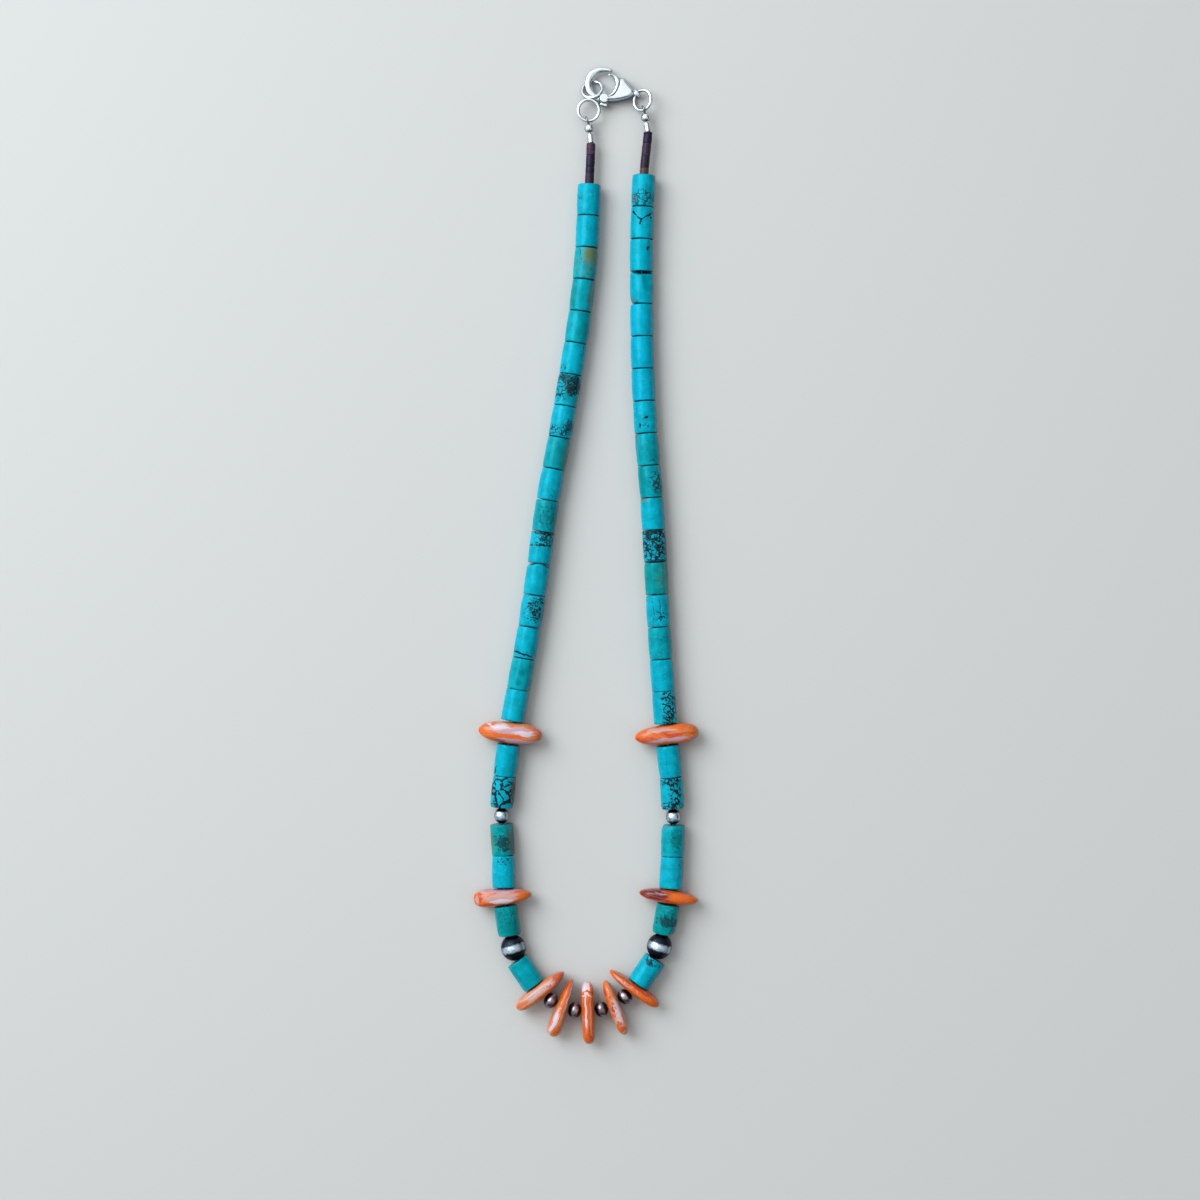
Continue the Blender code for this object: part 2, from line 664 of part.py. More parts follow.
def add_lever():
    """The sprung lever: gate, tip, pivot lug and thumb tab, its origin on the pivot."""
    half = LEVER_HEIGHT / 2
    bm = bmesh.new()
    wrap(bm, claw_band(LEVER_SECTIONS, LEVER_WIDTH, LEVER_HEIGHT), False)
    pivot = claw_point(*PIVOT)
    bmesh.ops.translate(bm, verts=bm.verts, vec=-pivot)
    lever = add_object("clasp_lever", bm, "silver", pivot)
    bm = bmesh.new()
    tip = claw_point(*LEVER_TIP)
    bmesh.ops.create_icosphere(bm, subdivisions=2, radius=LEVER_TIP_RADIUS, matrix=Matrix.Translation(tip))
    combine(lever, add_tool("lever_tip", bm), "UNION")
    lug = prism(disc_outline(PIVOT, LUG_RADIUS, BEAD_SIDES), -half, half)
    combine(lever, add_tool("lever_lug", lug), "UNION")
    tab_level = PIVOT[1] - TAB_DROP
    stem = box_outline(PIVOT[0] - STEM_HALF, PIVOT[0] + STEM_HALF, tab_level, PIVOT[1] - STEM_HALF)
    combine(lever, add_tool("lever_stem", prism(stem, -half, half)), "UNION")
    tab = disc_outline((PIVOT[0] + GAP, tab_level), TAB_WIDTH / 2, BEAD_SIDES, TAB_LENGTH - TAB_WIDTH)
    combine(lever, add_tool("lever_tab", prism(tab, -TAB_HEIGHT / 2, TAB_HEIGHT / 2)), "UNION")
    hole = prism(disc_outline(PIVOT, PIN_RADIUS + GAP, BEAD_SIDES), -CLAW_MID, CLAW_MID)
    combine(lever, add_tool("lever_hole", hole), "DIFFERENCE")


def end_loop(held, ball_start, ball_end):
    """The wire's teardrop loop in an upright plane: out of the ball, round a ring's wire and back into it."""
    away = (held - ball_start).normalized()
    up = Vector((0, 0, 1))
    radius = RING_WIRE / 2 + GAP + WIRE_RADIUS
    middle = (ball_start + ball_end) / 2
    tail = middle + up * STRAND_OFFSET
    path = [tail, ball_start + up * STRAND_OFFSET]
    for k in range(LOOP_STEPS + 1):
        turn = math.radians(LOOP_HALF_TURN * (1 - 2 * k / LOOP_STEPS))
        path.append(held + radius * (math.cos(turn) * away + math.sin(turn) * up))
    path.append(ball_start - up * STRAND_OFFSET)
    path.append(middle - up * STRAND_OFFSET)
    path.append(ball_end - up * STRAND_OFFSET / 3)
    return path


for old in list(bpy.data.objects):
    bpy.data.objects.remove(old, do_unlink=True)

necklace = bpy.data.objects.new("necklace", None)
bpy.context.scene.collection.objects.link(necklace)

# Clasp, link and ring settle where the string's two ends are
claw_origin = Vector((*CLAW_CENTRE, CLAW_MID))
ring_centre, ring_across, ring_up, ring_along, right_held = jump_ring_frame()
crimp_height = right_held.z
left_held = add_link()
bm = bmesh.new()
wrap(bm, ring_loops(ring_centre, ring_across, ring_up, JUMP_RING_OUTSIDE), True)
add_object("jump_ring", bm, "silver")
add_claw_body(Vector((ring_along.x, ring_along.y, 0)).normalized())
add_lever()

# The string
loop_reach = RING_WIRE / 2 + GAP
left_start = left_held + plan(LEFT_END_BEARING) * loop_reach
right_start = right_held + plan(RIGHT_END_BEARING) * loop_reach
string_beads = bead_list()
string_joints = lay_string(string_beads, left_start, right_start)

strands = {}
for bead, start, end in zip(string_beads, string_joints, string_joints[1:]):
    if bead.name.startswith(("turquoise_run", "heishi")):
        strands.setdefault(bead.name, []).append((bead, start, end))
    elif bead.kind == "slice":
        shell_slice(bead, start, end)
    elif bead.kind == "tube":
        single_bead(bead, start, end, "turquoise")
    elif bead.name.startswith("silver_spacer"):
        single_bead(bead, start, end, "dark_silver")
    else:
        single_bead(bead, start, end, "silver")
for name, row in strands.items():
    row_joints = [row[0][1]] + [end for _, _, end in row]
    neck, look = (HEISHI_NECK, "heishi") if name.startswith("heishi") else (NECK_RADIUS, "turquoise")
    fused_string(name, [bead for bead, _, _ in row], row_joints, neck, look)

left_loop = end_loop(left_held, string_joints[0], string_joints[1])
right_loop = end_loop(right_held, string_joints[-1], string_joints[-2])
bm = bmesh.new()
wrap(bm, tube_loops(left_loop + string_joints[2:-2] + right_loop[::-1], WIRE_RADIUS, WIRE_SIDES), False)
add_object("beading_wire", bm, "wire")

# The origin goes to the middle of the footprint, on the surface
bpy.context.view_layer.update()
corners = []
for obj in necklace.children:
    if not obj.hide_render:
        corners += [obj.matrix_world @ vertex.co for vertex in obj.data.vertices]
low = Vector([min(corner[axis] for corner in corners) for axis in range(3)])
high = Vector([max(corner[axis] for corner in corners) for axis in range(3)])
necklace.location = (-(low.x + high.x) / 2, -(low.y + high.y) / 2, -low.z)
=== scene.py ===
# Looks of the gemstone bead necklace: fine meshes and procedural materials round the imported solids.
# Lengths are in metres in the frame's own axes. Meshes are built in millimetres and scaled once.

import json
import math
from collections import namedtuple

import bmesh
import bpy
from mathutils import Matrix, Vector, noise


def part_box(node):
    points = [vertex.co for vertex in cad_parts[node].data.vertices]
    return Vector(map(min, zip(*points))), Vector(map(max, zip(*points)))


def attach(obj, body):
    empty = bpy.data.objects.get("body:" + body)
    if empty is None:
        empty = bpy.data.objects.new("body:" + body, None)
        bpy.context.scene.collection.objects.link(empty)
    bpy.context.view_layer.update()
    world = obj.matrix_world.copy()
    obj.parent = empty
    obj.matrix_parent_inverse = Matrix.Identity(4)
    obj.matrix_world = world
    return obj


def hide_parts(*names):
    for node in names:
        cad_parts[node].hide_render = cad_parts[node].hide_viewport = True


MM = 0.001
UP = Vector((0, 0, 1))

# Sizes of the solids, in millimetres
GAP = 0.3
WIRE_RADIUS = 0.25
BORE_RADIUS = 0.55
STRAND_OFFSET = 0.3
TUBE_RADIUS = 3.0
TUBES_IN_RUN = 17
SPACER_RADIUS = 2.1
HEISHI_RADIUS = 1.18
HEISHI_COUNT = {"left": 4, "right": 5}
CRIMP_BALL_RADIUS = 1.2
CRIMP_BALL_BORE = 0.85
CRIMP_TUBE_LENGTH = 2.3
CRIMP_TUBE_RADIUS = 0.78
CRIMP_TUBE_BORE = 0.5
SLICE_HEIGHT = 7.0
SLICE_SECTION_POWER = 0.7
SLICE_HEIGHT_POWER = 3.0
SOLID_SLICE_CORNERS = 12
Slice = namedtuple("Slice", "length thick taper outer inner lean shift")
SLICES = {
    "upper_left": Slice(16.6, 5.7, 0.05, 2.6, 2.6, 3.2, 0.0),
    "lower_left": Slice(15.2, 4.3, -0.15, 5.0, 2.0, 0.0, 0.5),
    "fringe_a": Slice(15.5, 3.8, -0.05, 3.0, 1.7, -7.0, -0.2),
    "fringe_b": Slice(15.8, 3.0, -0.45, 5.0, 5.0, 2.0, 0.3),
    "fringe_c": Slice(16.2, 3.3, 0.0, 8.0, 8.0, -0.7, 0.4),
    "fringe_d": Slice(15.0, 3.2, -0.08, 3.5, 3.5, -6.8, 1.0),
    "fringe_e": Slice(15.7, 2.8, -0.1, 4.5, 1.8, 9.3, 0.0),
    "lower_right": Slice(15.5, 3.7, 0.0, 1.7, 1.7, 0.0, -0.2),
    "upper_right": Slice(16.6, 5.2, -0.05, 4.0, 2.4, 0.4, 0.0),
}

# How far the shown beads go past the solids, which keep wider gaps, and how their edges are rounded
TOUCHING = 0.025
END_REACH = {"heishi": 0.0, "spacer": -0.08}
SLICE_REACH = 0.1
SLICE_SWELL = 0.06
TUBE_SWELL = 0.12
TUBE_EDGE = 0.28
HEISHI_EDGE = 0.13
CRIMP_EDGE = 0.12
HOLE_EDGE = 0.12
HOLE_RELIEF = 0.2
# Silver beads: radius, where the pale band ends and where black begins as shares of it, and roughness
SILVER_BALLS = {"small": (1.9, 0.42, 0.78, 0.26), "large": (3.25, 0.16, 0.36, 0.36)}

# Rings and claw, as in the solids. The claw's plane has u towards its eye and v across.
RING_WIRE = 0.83
JUMP_RING_OUTSIDE = 6.05
JUMP_RING_TILT = 34.0
LINK_UPPER_OUTSIDE = 6.1
LINK_LOWER_OUTSIDE = 6.3
WAIST_STEP = 0.55
CLAW_TURN = -16.5
HOOK_HEIGHT = 1.24
HOOK_INNER_RADIUS = 3.08
HOOK_WIDTH = 1.82
LEVER_HEIGHT = 1.2
LEVER_WIDTH = 0.77
LEVER_TIP_RADIUS = 0.35
LEVER_TIP = (0.87, 2.75)
PIVOT = (1.3, -3.65)
PIN_RADIUS = 0.3
LUG_RADIUS = 0.92
STEM_HALF = 0.46
TAB_LENGTH = 2.2
TAB_WIDTH = 0.9
TAB_HEIGHT = 1.5
TAB_DROP = 1.5
ROOT_LENGTH = 0.7
ROOT_LOW = 0.75
ROOT_HIGH = 0.5
BODY_DOME = 0.3
CHEEK_DOME = 0.1
LUG_DOME = 0.06
TAB_DOME = 0.35
NOSE_RISE = 1.15
TIP_SWELL = 1.1
CLAW_REACH = 8.9
CLAW_HALF = 4.3
EYE_RADIUS = 1.22
EYE_BORE = 0.8
EYE_WIDTH = 1.15
CLAW_MID = HOOK_HEIGHT / 2 + GAP + RING_WIRE + 0.05
Band = namedtuple("Band", "angle inner width")
HOOK_SECTIONS = [
    Band(77, 1.14, 0.52), Band(99, 1.02, 0.68), Band(130, 1.0, 0.86), Band(158, 1.0, 1.0),
    Band(186, 1.0, 1.0), Band(214, 1.0, 0.97), Band(240, 1.0, 0.92), Band(262, 1.0, 0.86),
    Band(276, 1.0, 0.84),
]
LEVER_SECTIONS = [
    Band(-68, 1.0, 1.0), Band(-45, 1.0, 1.0), Band(-20, 1.0, 1.0), Band(5, 1.0, 1.05),
    Band(22, 1.0, 1.35), Band(36, 1.0, 1.72), Band(46, 1.0, 1.4), Band(57, 1.0, 0.8),
    Band(68, 0.98, 0.45),
]
Corner = namedtuple("Corner", "along across")
BODY_BACK = [
    Corner(0.10, -1.04), Corner(0.30, -0.96), Corner(0.48, -0.84), Corner(0.70, -0.60),
    Corner(0.90, -0.30), Corner(0.96, 0.06), Corner(0.82, 0.29), Corner(0.66, 0.52),
    Corner(0.53, 0.70),
]
LINK_BEARING = 205.8
WAIST_BEARING = 257.1
LOWER_BEARING = 263.3
EYE_ANGLE = 136.4
LOOP_ANGLE = -80.0
EYE_SAG = 0.3
LOOP_HALF_TURN = 110

# Mesh fineness
BEAD_SIDES = 48
BEAD_ROWS = 14
BALL_ROWS = 28
BORE_SIDES = 16
WIRE_SIDES = 12
EDGE_STEPS = 4
SLICE_STATIONS = 44
SLICE_CORNERS = 48
RING_STEPS = 96
RING_SIDES = 24
BAND_STEPS = 6
BAND_SIDES = 24
LOOP_STEPS = 24
DOME_STEPS = 18
CLAW_VOXEL = 0.1
LEVER_VOXEL = 0.07
CLAW_SMOOTHING = 6
LEVER_SMOOTHING = 4

# Colours, linear
DARK = (0.008, 0.010, 0.014, 1)
BROWN = (0.085, 0.05, 0.032, 1)
OLIVE = (0.11, 0.16, 0.07, 1)
MOSS = (0.0, 0.15, 0.15, 1)
# Dark teal of the painted shade at the ends of the stones
END_SHADE_TEAL = (0.004, 0.035, 0.042, 1)
SILVER = (0.87, 0.95, 0.96, 1)
DULL_SILVER = (0.55, 0.62, 0.66, 1)
# Blue-grey of the painted shade on the sides and underside of silver
SIDE_SHADE_BLUE = (0.07, 0.12, 0.18, 1)
BRUSHED = (0.60, 0.74, 0.84, 1)
DULL_BRUSHED = (0.30, 0.40, 0.50, 1)
BLACKENED = (0.018, 0.022, 0.036, 1)
WORN_BLACK = (0.11, 0.14, 0.20, 1)
SPACER_GREY = (0.155, 0.135, 0.16, 1)
SPACER_WORN = (0.44, 0.39, 0.43, 1)
SPACER_BLACK = (0.045, 0.035, 0.04, 1)
WIRE_TONES = (0.22, 0.22, 0.23, 1), (0.34, 0.34, 0.35, 1)
FLOOR_COLOUR = (0.52, 0.52, 0.51, 1)
INK = {"dark": DARK, "brown": BROWN, "olive": OLIVE, "moss": MOSS}
Tint = namedtuple("Tint", "light deep")
TINTS = {
    "bright": Tint((0.0, 0.34, 0.46, 1), (0.0, 0.26, 0.35, 1)),
    "sky": Tint((0.0, 0.34, 0.50, 1), (0.0, 0.27, 0.38, 1)),
    "teal": Tint((0.0, 0.30, 0.37, 1), (0.0, 0.22, 0.27, 1)),
    "green": Tint((0.0, 0.26, 0.28, 1), (0.0, 0.18, 0.19, 1)),
}

# Each stone: its tint, and its marks by kind, ink, place across and along in millimetres, half width, half
# length, grain size and strength. A vein has the run from its place in the place of half sizes, and its own half
# width in that of grain size. The upper end of a stone is towards the clasp.
Mark = namedtuple("Mark", "kind ink x y wide tall size strength", defaults=(1, 1))
STONES = {
    "left_1": ("bright", [("specks", "dark", -2.4, 0.2, 0.9, 1.2, 1.6, 0.8)]),
    "left_2": ("bright", []),
    "left_3": ("teal", [("tint", "olive", 1.2, 2.4, 1.9, 2.2), ("web", "olive", 0, -0.6, 3, 3.4, 0.6, 0.35),
        ("vein", "dark", -1.6, 3.4, 0.5, -2.6, 0.08, 0.7)]),
    "left_4": ("teal", [("tint", "olive", 2.5, 0.5, 0.7, 3.6, 1, 0.5), ("tint", "moss", -2.2, 0, 1.2, 3.4, 1, 0.6)]),
    "left_5": ("teal", [("tint", "moss", 1.6, -1, 1.2, 2.6, 1, 0.4)]),
    "left_6": ("bright", [("specks", "dark", -2, -2.7, 1, 1, 1.6, 0.9),
        ("specks", "dark", 2.3, 2.8, 0.9, 0.9, 1.6, 0.8)]),
    "left_7": ("bright", [("tint", "moss", 0.8, 1, 2.4, 3, 1, 0.7), ("patch", "dark", 1.3, 1.2, 1.9, 2.6, 1.3, 0.95),
        ("patch", "dark", -1.2, 3.2, 1.6, 0.7, 1.5, 0.9), ("web", "dark", -1.8, 0.5, 1.6, 3.4, 0.8, 0.9)]),
    "left_8": ("bright", [("patch", "dark", 1.9, -0.8, 0.9, 1.6, 1.8, 0.8),
        ("web", "dark", -0.6, -2.6, 2.8, 1.4, 1.2, 0.9), ("specks", "dark", 1, -2, 2.2, 2, 1.8, 0.9)]),
    "left_9": ("teal", [("tint", "moss", 0.6, 0, 1.8, 3.6, 1, 0.5), ("tint", "olive", 2.5, 0, 0.6, 3.8, 1, 0.4)]),
    "left_10": ("bright", [("specks", "moss", 0.8, -2.2, 2, 1.4, 1.5, 0.8)]),
    "left_11": ("teal", [("tint", "moss", 0.4, 0, 3, 4.4, 1, 0.35), ("specks", "dark", 0, 0, 3.4, 4.4, 1.3, 0.55),
        ("web", "dark", 1, 0, 2.2, 3.8, 0.9, 0.35)]),
    "left_12": ("bright", [("patch", "dark", 0.4, 3.9, 2.8, 0.6, 1.4), ("vein", "dark", -2.9, 0.4, 5.2, 0.3, 0.22),
        ("web", "dark", 1.5, 2.2, 1.8, 1.4, 1.1, 0.9), ("specks", "dark", 0, 1.6, 2.8, 2.4, 1.6, 0.9),
        ("vein", "dark", 1, 0.6, 1.4, 1.8, 0.12, 0.9)]),
    "left_13": ("bright", [("vein", "dark", 1.4, 3.9, 1.2, -0.5, 0.14, 0.9)]),
    "left_14": ("bright", [("web", "dark", 1.3, 1, 2, 3.2, 1.2), ("specks", "dark", 0.2, -0.6, 3, 3.8, 1.7)]),
    "left_15": ("bright", [("vein", "dark", -2.6, -2.6, 4.2, -0.8, 0.2),
        ("specks", "dark", 1.6, -2.6, 1.6, 1.2, 1.6, 0.9)]),
    "left_16": ("teal", [("tint", "moss", 0.2, 0.4, 0.8, 0.9, 1, 0.8),
        ("tint", "moss", -0.2, -2.3, 0.7, 0.8, 1, 0.7)]),
    "left_17": ("bright", []),
    "left_18": ("bright", [("vein", "dark", -2.3, -1.4, -0.3, -2.4, 0.13)]),
    "left_19": ("bright", [("web", "dark", 0, 0, 4, 5, 0.42), ("specks", "dark", 0.4, -0.6, 3.4, 4, 1.2, 0.4),
        ("patch", "brown", 2.8, 0.6, 0.7, 3.4, 1.2, 0.9)]),
    "left_20": ("green", [("patch", "dark", 0.2, -1, 1.8, 1.9, 1.3, 0.8),
        ("tint", "brown", 2.5, -0.8, 0.8, 3.4, 1, 0.7), ("specks", "dark", -0.6, 0.6, 2.6, 3.2, 1.4, 0.8),
        ("tint", "olive", -2.8, 0, 0.5, 3.6, 1, 0.6)]),
    "left_21": ("bright", [("specks", "dark", 0.3, 2.8, 2.8, 1.4, 1.7)]),
    "left_22": ("green", [("specks", "dark", 0, 1.2, 3, 3, 1.8, 0.9), ("tint", "moss", 1, -1.8, 2.4, 1.9, 1, 0.6)]),
    "left_23": ("teal", []),
    "right_1": ("bright", [("web", "dark", -0.3, -2.2, 2.9, 2.2, 0.9, 0.8),
        ("patch", "brown", -2, -2.4, 0.6, 0.8, 1.6, 0.8), ("specks", "dark", 1.4, -1.4, 2, 2.6, 1.8, 0.7),
        ("vein", "dark", 0.8, 1.6, -0.4, -3.4, 0.09, 0.7)]),
    "right_2": ("bright", [("vein", "dark", -2.4, 2.7, 2, -2.1, 0.19), ("vein", "dark", -0.4, 0.6, 2.8, 1.9, 0.17),
        ("vein", "dark", -0.4, 0.6, -0.2, -1, 0.2), ("specks", "dark", 2.2, 1.6, 1.2, 1.8, 1.6, 0.9)]),
    "right_3": ("bright", [("patch", "dark", 1.6, 1.6, 0.5, 0.6, 2, 0.9),
        ("vein", "moss", 1.8, 3.6, 0.1, -2, 0.12, 0.8)]),
    "right_4": ("bright", []),
    "right_5": ("sky", []),
    "right_6": ("sky", []),
    "right_7": ("sky", []),
    "right_8": ("bright", [("patch", "dark", 0.2, -0.2, 0.45, 0.35, 2.4),
        ("patch", "dark", -1.6, -2.2, 0.35, 0.6, 2.4), ("specks", "dark", 0, -2.6, 2.4, 1.2, 1.6),
        ("vein", "dark", -0.6, -0.3, 1.2, 0.3, 0.1, 0.8)]),
    "right_9": ("teal", [("specks", "dark", 1.2, -3.4, 2, 0.9, 1.5), ("tint", "moss", 0.4, -1, 2.4, 2.4, 1, 0.4)]),
    "right_10": ("teal", [("specks", "dark", 1.2, 0, 2.2, 4, 1.5), ("tint", "moss", -2, 0, 1.2, 3.8, 1, 0.6),
        ("web", "dark", 1.6, -0.6, 1.2, 3.4, 0.9, 0.8)]),
    "right_11": ("bright", [("tint", "olive", -2.2, 3.8, 1.2, 0.4, 1, 0.8)]),
    "right_12": ("bright", [("web", "dark", 0, 0, 4.5, 5.5, 0.95), ("web", "dark", 0.6, 0.8, 3, 3, 1.5, 0.9),
        ("patch", "dark", -1, 3.7, 2.8, 0.7, 1.3), ("patch", "dark", 0.6, -3.8, 2.6, 0.4, 1.3, 0.9),
        ("patch", "dark", 1, 1.6, 0.8, 0.6, 1.5, 0.9)]),
    "right_13": ("green", [("web", "olive", 1.6, 0.3, 1.8, 3.4, 0.9, 0.35),
        ("tint", "moss", -0.6, 0.4, 1.8, 3, 1, 0.4)]),
    "right_14": ("bright", [("patch", "dark", 0.6, -1.8, 0.5, 0.6, 2),
        ("vein", "dark", 0.4, 2.8, 0.2, -4.4, 0.09, 0.8), ("specks", "dark", 0.2, -1.6, 2.8, 2.8, 1.6),
        ("vein", "dark", -1.4, 2.6, 0.3, -3.6, 0.08, 0.7)]),
    "right_15": ("teal", [("specks", "moss", 0.6, 1.2, 2.4, 2.6, 1.6, 0.7)]),
    "right_16": ("bright", []),
    "right_17": ("bright", [("web", "dark", 1.2, 0, 2, 4.8, 0.75), ("specks", "dark", 0.6, 0, 2.4, 4.4, 1.7, 0.9)]),
    "right_18": ("bright", [("vein", "moss", -0.9, 3.4, 0.1, -6.4, 0.07, 0.5)]),
    "right_19": ("bright", [("web", "dark", 0.4, 0.2, 1.5, 4.6, 0.7), ("web", "dark", -0.4, 3.3, 3, 1.2, 0.9),
        ("web", "dark", -0.4, -3.2, 3, 1.2), ("specks", "dark", 0.6, 0, 2.4, 4.4, 1.5, 0.9)]),
    "right_20": ("teal", [("patch", "moss", 0.7, 0.7, 1.4, 2.4, 1.3, 0.8),
        ("specks", "dark", 0.9, -0.6, 2, 3, 1.5, 0.9)]),
    "right_21": ("bright", [("specks", "dark", 2.2, 2.4, 1, 1.6, 1.6, 0.7)]),
    "right_22": ("green", [("patch", "dark", 0.4, -0.4, 2.7, 1.3, 1, 0.8),
        ("specks", "dark", 0, 1, 2.8, 2.8, 1.4, 0.8)]),
    "right_23": ("bright", [("patch", "dark", -0.6, 2.6, 0.55, 0.5, 2), ("web", "dark", -0.6, 3, 2.2, 1, 1.2, 0.9),
        ("specks", "dark", 1.8, -2.4, 1.4, 1.4, 1.6, 0.8)]),
}
# Flats and chips: (bead, direction that the flat faces, distance of the flat from the bead's middle)
FLATS = [
    ("right_4", (0.55, 0.1, 0.83), 2.72), ("right_4", (-0.75, -0.62, 0.25), 3.75), ("right_4", (0.1, 0.93, 0.36), 3.9),
    ("right_20", (-0.62, 0.72, 0.30), 3.9), ("right_22", (0.74, -0.60, 0.30), 3.9),
    ("left_4", (0.9, 0.0, 0.43), 2.8), ("left_13", (-0.5, 0.84, 0.2), 4.2), ("left_20", (0.85, 0.1, 0.5), 2.8),
    ("right_13", (0.88, 0.0, 0.47), 2.82), ("right_9", (-0.9, 0.1, 0.42), 2.85),
]

# Shell: the colours of its growth layers, from pale to deep, how the layers run, and marks as on the stones.
# On a slice the first place is along it, plus towards the inside of the necklace, and the second is across it:
# plus towards the clasp on the left, away from it on the right, and to the left in the fringe.
Shell = namedtuple("Shell", "pale middle deep pale_share bands seed marks")
WHITE = (0.60, 0.50, 0.55, 1)
LILAC = (0.44, 0.30, 0.40, 1)
PINK = (0.50, 0.28, 0.25, 1)
PEACH = (0.55, 0.19, 0.06, 1)
ORANGE = (0.62, 0.108, 0.0, 1)
DEEP_ORANGE = (0.48, 0.045, 0.0, 1)
MAROON = (0.13, 0.009, 0.003, 1)
INK.update(white=WHITE, lilac=LILAC, pink=PINK, peach=PEACH, orange=ORANGE, red=DEEP_ORANGE, maroon=MAROON)
SHELLS = {
    "upper_left": (PEACH, ORANGE, DEEP_ORANGE, 0.42, 0.55, 3.1, [("streak", "lilac", 0.4, 1, 5.4, 1, 1, 0.8),
        ("streak", "white", -3, 1.5, 2.6, 0.7), ("streak", "white", 3.8, 0.3, 2.6, 0.7),
        ("streak", "orange", -2, -0.6, 6, 0.4, 1, 0.9), ("streak", "lilac", 2.2, -1.9, 4.6, 0.6, 1, 0.85),
        # The maroon streak along the lower outer edge is painted shade, for the slice's shaded lower side
        ("streak", "maroon", -4.2, -2.3, 3, 0.4, 1, 0.6)]),
    "lower_left": (PEACH, ORANGE, DEEP_ORANGE, 0.4, 0.6, 8.4, [("streak", "pink", -0.5, 0.1, 5, 1.3, 1, 0.95),
        ("streak", "white", -0.6, -0.8, 3, 0.6), ("streak", "lilac", 0, 1.9, 7.5, 0.4, 1, 0.9),
        ("streak", "red", -6.3, 0.2, 0.5, 1.4, 1.4, 0.9), ("streak", "pink", -7, -0.4, 0.4, 1.2, 1.4, 0.8),
        ("streak", "orange", 5.6, 0, 2.2, 1.3, 1, 0.9)]),
    "fringe_a": (PINK, PEACH, ORANGE, 0.44, 0.9, 1.7, [("streak", "pink", 0.2, 0.5, 5.2, 0.9, 1, 0.9),
        ("streak", "white", 0.6, 0.3, 3.6, 0.3, 1.4, 0.5), ("streak", "orange", 2.2, -1.1, 4.4, 0.45, 1, 0.9),
        ("streak", "red", 6.4, 0, 1.8, 1.2, 1, 0.85), ("streak", "orange", -5.8, 0.3, 1.8, 0.8, 1, 0.8),
        ("specks", "red", 3.4, 0, 3.6, 1, 1.6, 0.7)]),
    "fringe_b": (PINK, PEACH, ORANGE, 0.36, 1.0, 5.2, [("streak", "orange", 2.2, 0.2, 5, 0.5, 1, 0.9),
        ("streak", "white", -4.2, 0.75, 3.2, 0.6), ("streak", "white", 3, -0.6, 3.6, 0.2, 1.2, 0.9),
        ("streak", "orange", -6, -0.7, 1.9, 0.6, 1.2), ("specks", "red", -5.6, -0.5, 2, 0.9, 1.6, 0.9),
        ("specks", "white", -0.6, 0.5, 3.4, 0.6, 1.7, 0.8), ("streak", "red", 6.2, 0.3, 1.6, 0.5, 1.2, 0.7)]),
    "fringe_c": (PEACH, ORANGE, DEEP_ORANGE, 0.4, 0.9, 9.9, [("streak", "white", 6.5, 0.3, 1.5, 1.1, 1.4),
        ("vein", "orange", 5, 1.5, 0.9, -1.4, 0.22), ("vein", "red", 5.9, 0.1, -0.9, -1.5, 0.2),
        ("vein", "white", 4.2, 1.4, 0.9, -1.3, 0.13, 0.9), ("vein", "white", 5.1, 0.1, -1, -1.1, 0.11, 0.8),
        ("streak", "white", -0.6, 0.6, 4.4, 0.26, 1.2, 0.9), ("streak", "pink", -0.6, -0.6, 4.6, 0.2, 1.2, 0.6),
        ("specks", "red", -5.6, 0, 2.6, 1.6, 1.4, 0.9)]),
    "fringe_d": (PINK, PEACH, ORANGE, 0.42, 0.8, 2.2, [("streak", "white", -2.4, -0.3, 4.4, 0.8, 1, 0.8),
        ("patch", "orange", 5.8, 0.7, 1.2, 0.8, 1.2), ("patch", "red", 3.9, 0.8, 1, 0.6, 1.4),
        ("patch", "orange", 2.3, 0.7, 1, 0.6, 1.4), ("patch", "orange", 0.7, 0.5, 0.8, 0.6, 1.4),
        ("patch", "red", -0.9, 0.6, 0.8, 0.5, 1.4), ("patch", "orange", -2.4, 0.7, 0.8, 0.5, 1.4),
        ("specks", "red", 0, 0.4, 7, 1.2, 1.7, 0.95), ("patch", "orange", -5.9, 0.3, 1.7, 1, 1.2)]),
    "fringe_e": (PEACH, ORANGE, DEEP_ORANGE, 0.34, 1.0, 6.3, [("streak", "orange", 0, 0.3, 8, 0.9, 1, 0.8),
        ("streak", "red", -1, -0.8, 6, 0.4, 1, 0.8), ("specks", "white", 1.6, 0.1, 4.6, 0.7, 1.8, 0.9),
        # The thin pink streak along the inner half is a painted highlight
        ("streak", "pink", 3.4, 0.3, 2.8, 0.2, 1.4, 0.8), ("streak", "orange", -5.8, 0, 2.2, 1.1),
        ("specks", "red", -5, 0.2, 2.4, 1.2, 1.6, 0.8)]),
    "lower_right": (PEACH, ORANGE, DEEP_ORANGE, 0.34, 0.8, 4.6, [("streak", "red", 4, 0, 5.2, 2),
        # The small lilac streak inside the maroon part is a painted highlight
        ("streak", "maroon", 3.4, -0.3, 4.6, 1.2, 1.2), ("streak", "lilac", 2.2, -0.7, 1.5, 0.22, 1.4, 0.6),
        ("streak", "pink", 4.6, 1.4, 3, 0.25, 1, 0.8), ("streak", "orange", -3.6, 0.2, 3.8, 1.4),
        ("specks", "red", -2.4, 0.4, 4, 1.2, 1.5, 0.7)]),
    "upper_right": (PEACH, ORANGE, DEEP_ORANGE, 0.38, 0.6, 7.5, [("streak", "pink", 1.6, -1.4, 4, 0.45, 1.2, 0.9),
        ("streak", "lilac", -1, 1.3, 5.4, 0.5, 1.2, 0.85), ("streak", "red", 5.2, 0.7, 2.8, 0.6, 1.2, 0.7),
        ("streak", "peach", -3.4, -0.6, 3.4, 0.4, 1.2, 0.8)]),
}
